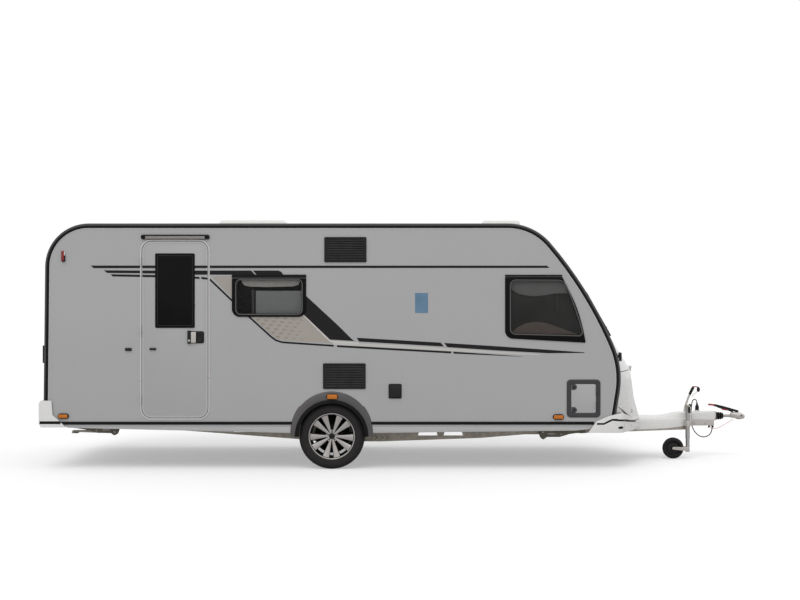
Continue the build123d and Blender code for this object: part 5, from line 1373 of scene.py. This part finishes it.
shoulder_in = 0.014     # where the cover's shoulder ends, in from its side


def cover_section(shrink, x, half, foot, shoulder, top, mid):
    """Half-round section of the drawbar cover, from its right foot to its left one."""
    half, mid = half - shrink, min(mid, half * 0.85) - shrink
    rise = top - shoulder
    right = [(-half, foot), (-half, (foot + shoulder) / 2), (-half * 0.995, shoulder - 0.016),
             (-half * 0.975, shoulder - 0.005), (-half + shoulder_in, shoulder - 0.0005)]
    for t in (0.2, 0.4, 0.6, 0.8):
        ease = t * t * (3 - 2 * t)
        right.append((-half + shoulder_in + (half - shoulder_in - mid) * t, shoulder + rise * ease * 0.9))
    right += [(-mid, shoulder + rise * 0.93), (-mid * 0.5, top - rise * 0.01)]
    line = right + [(0, top)] + [(-y, z) for y, z in right[::-1]]
    return [(x, y, z - (shrink if z > foot else 0)) for y, z in line]


def make_drawbar_cover():
    outer, inner = ([cover_section(shrink, *station) for station in cover_stations]
                    for shrink in (0.0, 0.004))
    inner[-1] = [(x - 0.003, y, z) for x, y, z in inner[-1]]
    bm = shell_loops(outer + inner[::-1], closed_section=True, closed_path=False)
    bmesh.ops.holes_fill(bm, edges=[e for e in bm.edges if len(e.link_faces) == 1], sides=4)
    feet = [e for e in bm.edges if len(e.link_faces) == 1]
    if feet:
        bmesh.ops.bridge_loops(bm, edges=feet)
    piece("drawbar_cover_skin", bm, "white", stands_for="drawbar_cover", sharp=60)


# ---- coupling gear ----------------------------------------------------------
shaft_z = 0.445
shaft_x = 3.436, 3.522
shaft_rib_x = [3.437 + 0.014 * k for k in range(6)]
bolt_x = 3.533, 3.562               # of the coupling head
overrun_bolt_x = 3.120, 3.235
bellows_x = 3.354, 3.440
bellows_pleats = ((3.354, 0.0430), (3.378, 0.0425), (3.402, 0.0400), (3.424, 0.0345))     # x, radius
# the coupling head: x, low z, high z, half width
head_stations = (
    (3.520, 0.428, 0.476, 0.0200), (3.530, 0.424, 0.4815, 0.0270), (3.552, 0.421, 0.4845, 0.0330),
    (3.575, 0.415, 0.4850, 0.0400), (3.600, 0.411, 0.4840, 0.0520), (3.625, 0.4095, 0.4800, 0.0600),
    (3.648, 0.412, 0.4690, 0.0540), (3.662, 0.418, 0.4600, 0.0400), (3.670, 0.427, 0.4520, 0.0240),
    (3.6728, 0.435, 0.4460, 0.0080))


def head_casting():
    """Squared round sections along the X axis."""
    def share(value):
        return math.copysign(abs(value) ** (2 / 3), value)

    return capped(shell_loops([[(x, half * share(c), (z0 + z1) / 2 + (z1 - z0) / 2 * share(s))
                                for c, s in circle(32)] for x, z0, z1, half in head_stations]))


def on_shaft(rings, steps):
    """Lathed piece round the coupling's line, from (radius, x) points."""
    return placed(lathe(rings, steps), (0, 0, shaft_z), -90)


def make_coupling():
    rings = [(0.0, bellows_x[0])]
    for (x, r), end in zip(bellows_pleats, [x for x, r in bellows_pleats[1:]] + [bellows_x[1]]):
        rings += [(r - 0.013, x + 0.0005)]
        rings += [(r - depth, x + (end - x) * share) for depth, share in (
            (0.004, 0.16), (0, 0.34), (0, 0.56), (0.004, 0.78), (0.013, 0.97))]
    rings.append((0.0, bellows_x[1]))
    piece("bellows_pleats", on_shaft(rings, 48), "rubber", stands_for="bellows", sharp=30)
    rings = [(0.0, shaft_x[0])]
    for x in shaft_rib_x:
        rings += [(0.0130, x), (0.0160, x + 0.003), (0.0165, x + 0.006), (0.0160, x + 0.009),
                  (0.0130, x + 0.0125)]
    rings += [(0.0130, shaft_x[1]), (0.0, shaft_x[1])]
    piece("coupling_shaft_ribs", on_shaft(rings, 32), "bright", stands_for="coupling_shaft", sharp=30)
    piece("coupling_casting", head_casting(), "painted_steel", stands_for="coupling_head", sharp=60)
    piece("ball_socket", bar((3.610, 0, 0.4093), (3.610, 0, 0.4115), 0.0262, 40), "drum", "steel_painted")
    piece("coupling_pins", mirrored(bar((3.6245, 0.050, 0.4505), (3.6245, 0.0625, 0.4505), 0.0085, 24)),
          "plastic")
    bolts = [bar((x, side * 0.028, 0.452), (x, side * 0.0405, 0.452), 0.0065, 6)
             for x in bolt_x for side in (-1, 1)]
    piece("coupling_bolts", bolts, "bright")
    for name, look, radius, squash, steps, line, node in (
            ("coupling_arm", "plastic", 0.0130, 1.3, 16,
             ((3.345, 0.5600), (3.400, 0.5480), (3.470, 0.5300), (3.545, 0.5080), (3.585, 0.4970),
              (3.603, 0.4900)), "coupling_handle"),
            ("coupling_handle_tip", "red_plastic", 0.0098, 1.6, 16,
             ((3.280, 0.5670), (3.300, 0.5665), (3.330, 0.5630), (3.376, 0.5535)), None),
            ("coupling_release", "plastic", 0.0105, 1.5, 14,
             ((3.378, 0.5460), (3.420, 0.5310), (3.480, 0.5180), (3.545, 0.4900)), None)):
        arm = bent_bar([(x, 0, z) for x, z in line], radius, steps, squash)
        piece(name, arm, look, stands_for=node, sharp=35)
    piece("coupling_mark", bar((3.425, -0.0100, 0.5170), (3.487, -0.0100, 0.5080), 0.0075, 12), "red_plastic")


def make_overrun():
    softened("overrun_cover", "white", bevel=0.0025, segments=2)
    softened("overrun_housing", "painted_steel")
    glands = [bar((x, -0.020, 0.346), (x + lean, -0.020, 0.318), 0.013, 20, 0.008)
              for x, lean in ((3.290, -0.012), (3.318, 0.010))]
    glands.append(box(3.274, 3.328, -0.034, 0.034, 0.3390, 0.3455))
    piece("cable_glands", glands, "plastic", bevel=0.001)
    bolts = [bar((x, side * 0.0585, 0.366), (x, side * 0.066, 0.366), 0.0095, 6)
             for x in overrun_bolt_x for side in (-1, 1)]
    piece("overrun_bolts", bolts, "bright")


handbrake_y = 0.076


def make_handbrake():
    y = handbrake_y

    def bent(line, radius, steps, squash=1.0, out=0.0):
        return bent_bar([(x, y - out, z) for x, z in line], radius, steps, squash)

    rod = bent(((3.018, 0.4220), (3.036, 0.4600), (3.046, 0.5100), (3.058, 0.5750), (3.075, 0.6250),
                (3.098, 0.6750)), 0.0115, 16, 0.8)
    sleeve = bent(((3.022, 0.4300), (3.038, 0.4650), (3.047, 0.5150), (3.056, 0.5600)), 0.0165, 16, 0.7)
    foot = box(3.006, 3.044, y - 0.011, y + 0.011, 0.4215, 0.450)
    piece("handbrake_rod", [rod, sleeve, foot], "painted_steel", "grip_black", stands_for="handbrake_lever",
          sharp=35)
    grip = bent(((3.094, 0.6700), (3.104, 0.6900), (3.118, 0.7200), (3.134, 0.7480)), 0.0155, 18)
    piece("handbrake_grip", grip, "grip", sharp=35)
    button = bar((3.131, y, 0.7440), (3.138, y, 0.7600), 0.0115, 20, 0.0095)
    bridge = bar((3.136, y - 0.006, 0.7570), (3.190, y - 0.012, 0.7500), 0.0058, 14)
    piece("handbrake_button", [button, bridge], "red_plastic", bevel=0.001)
    link = bent(((3.112, 0.6480), (3.130, 0.6640), (3.158, 0.6900), (3.176, 0.7060)), 0.0035, 10, out=0.016)
    piece("handbrake_link", link, "bright", sharp=35)
    knob = lathe(((0.0, -0.014), (0.012, -0.013), (0.019, -0.006), (0.020, 0.003), (0.016, 0.011),
                  (0.0, 0.014)), 24)
    upper = placed(knob.copy(), (3.186, y - 0.016, 0.725), scale=(0.9, 1, 1.4))
    lower = placed(knob, (3.0946, y - 0.010, 0.551), scale=(0.9, 0.9, 0.9))
    stalk = bar((3.054, y - 0.008, 0.548), (3.090, y - 0.010, 0.551), 0.006, 14)
    piece("handbrake_knobs", [upper, lower, stalk], "grip", sharp=35)


# ---- jockey wheel -----------------------------------------------------------
# half profiles: radius from the axle, or in from the rim where 0 or less; share of half the width
jockey_tread = ((0.073, 0.62), (0.078, 0.93), (0.086, 1), (-0.012, 0.94), (-0.003, 0.70), (0, 0.35))
jockey_dish = ((0.0, 0.95), (0.018, 0.95), (0.021, 0.80), (0.024, 0.45), (0.060, 0.30), (0.072, 0.66),
               (0.0745, 0.62))


def make_jockey():
    for node, look, slot, body in (
            ("jockey_clamp", "painted_steel", "steel_painted", "root"),
            ("jockey_fork", "painted_steel", "steel_galvanised", "jockey_castor"),
            ("jockey_crank", "zinc", "grip_black", "root")):
        softened(node, look, slot, body, bevel=0.0022, segments=2)
    lo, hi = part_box("jockey_wheel")
    middle, half, rim = (lo + hi) / 2, (hi.y - lo.y) / 2, (hi.z - lo.z) / 2
    tread = [(r if r > 0 else rim + r, -half * share) for r, share in jockey_tread]
    dish = [(r, -half * share) for r, share in jockey_dish]
    for profile in (tread, dish):
        profile += [(r, -y) for r, y in profile[::-1]]
    piece("jockey_tyre", placed(lathe(tread, 60, closed=True), middle), "rubber", "jockey_rubber",
          "jockey_wheel", "jockey_wheel", sharp=30)
    piece("jockey_hub", placed(lathe(dish, 48), middle), "plastic", "jockey_rubber", "jockey_wheel", sharp=30)
    grip = lathe(((0.0, -0.036), (0.0095, -0.036), (0.0118, -0.030), (0.0125, 0.0), (0.0118, 0.030),
                  (0.0095, 0.035), (0.0, 0.035)), 24)
    piece("jockey_crank_grip", placed(grip, (3.025, -0.245, 0.528), 90, "X"), "grip", sharp=30)


# ---- chassis details --------------------------------------------------------
steady_y = 0.76
steady_pivots = ((1.410, 1, -0.030), (-2.985, -1, 0.012))    # x, way the leg lies, drop of the low edge
steady_cheek_y = (0.036, 0.039)                              # from the leg's middle
cheek_top_z = 0.388
chevron_x = [-0.316 + 0.055 * k for k in range(3)]
chevron_y = (-0.7125, -0.7095)
cheek_low = ((-0.034, 0.345), (-0.026, 0.318), (-0.010, 0.300), (0.008, 0.298), (0.022, 0.308),
             (0.040, 0.322), (0.170, 0.322), (0.270, 0.352), (0.430, 0.376))     # from the pivot, height


def make_steady_cheeks():
    """Deep side plates beside each leg's pivot, down to a curled toe, with bolts and a pale raised rib that
    is a painted highlight.
    """
    cheeks, ribs = [], []
    face_y = -steady_y - steady_cheek_y[1]
    for pivot_x, way, drop in steady_pivots:
        outline = [(pivot_x + way * x, z + drop) for x, z in cheek_low]
        outline += [(pivot_x + way * x, cheek_top_z) for x in (0.440, -0.040)]
        for side in (-1, 1):
            cheeks.append(prism(outline, *(side * y - steady_y for y in steady_cheek_y)))
        # pale rib along each cheek: painted highlight of a bright line of light
        ribs.append(box(pivot_x + way * 0.050, pivot_x + way * 0.125, face_y - 0.003, face_y + 0.0015,
                        0.350 + drop, 0.362 + drop))
        for x, z in ((pivot_x, 0.345), (pivot_x + way * 0.185, 0.350 + drop)):
            ribs.append(bar((x, face_y + 0.001, z), (x, face_y - 0.007, z), 0.011, 6))
    piece("steady_cheeks", mirrored(*cheeks), "zinc_dull", bevel=0.001)
    piece("steady_bolts_and_highlight_ribs", mirrored(*ribs), "alloy", "steel_galvanised", bevel=0.001)


def make_chassis_details():
    """Pressed chevrons on the rails, side plates and softened steadies, and grab handles."""
    make_steady_cheeks()
    beads = [prism(ribbon(((x, 0.301), (x + 0.030, 0.281), (x, 0.261)), (0.007,) * 3), *chevron_y)
             for x in chevron_x]
    piece("rail_chevrons", mirrored(*beads), "floor", bevel=0.0008)
    for end in ("front_right", "front_left", "rear_right", "rear_left"):
        softened("steady_" + end, "zinc", body="steady_" + end, bevel=0.0015, segments=2)
    softened("grab_handles", "grip")


# ---- main -------------------------------------------------------------------
for make in (make_finishes, dress_cad, make_stage, make_cords, make_mouldings, make_flares, make_wheels,
             make_side_windows, make_door, make_door_furniture, make_hatches, make_fittings,
             make_lower_trims, make_rear_lamps, make_end_windows, make_rear_bumper, make_front,
             make_drawbar_cover, make_overrun, make_coupling, make_handbrake, make_jockey,
             make_chassis_details, make_decals):
    make()

bpy.context.view_layer.update()
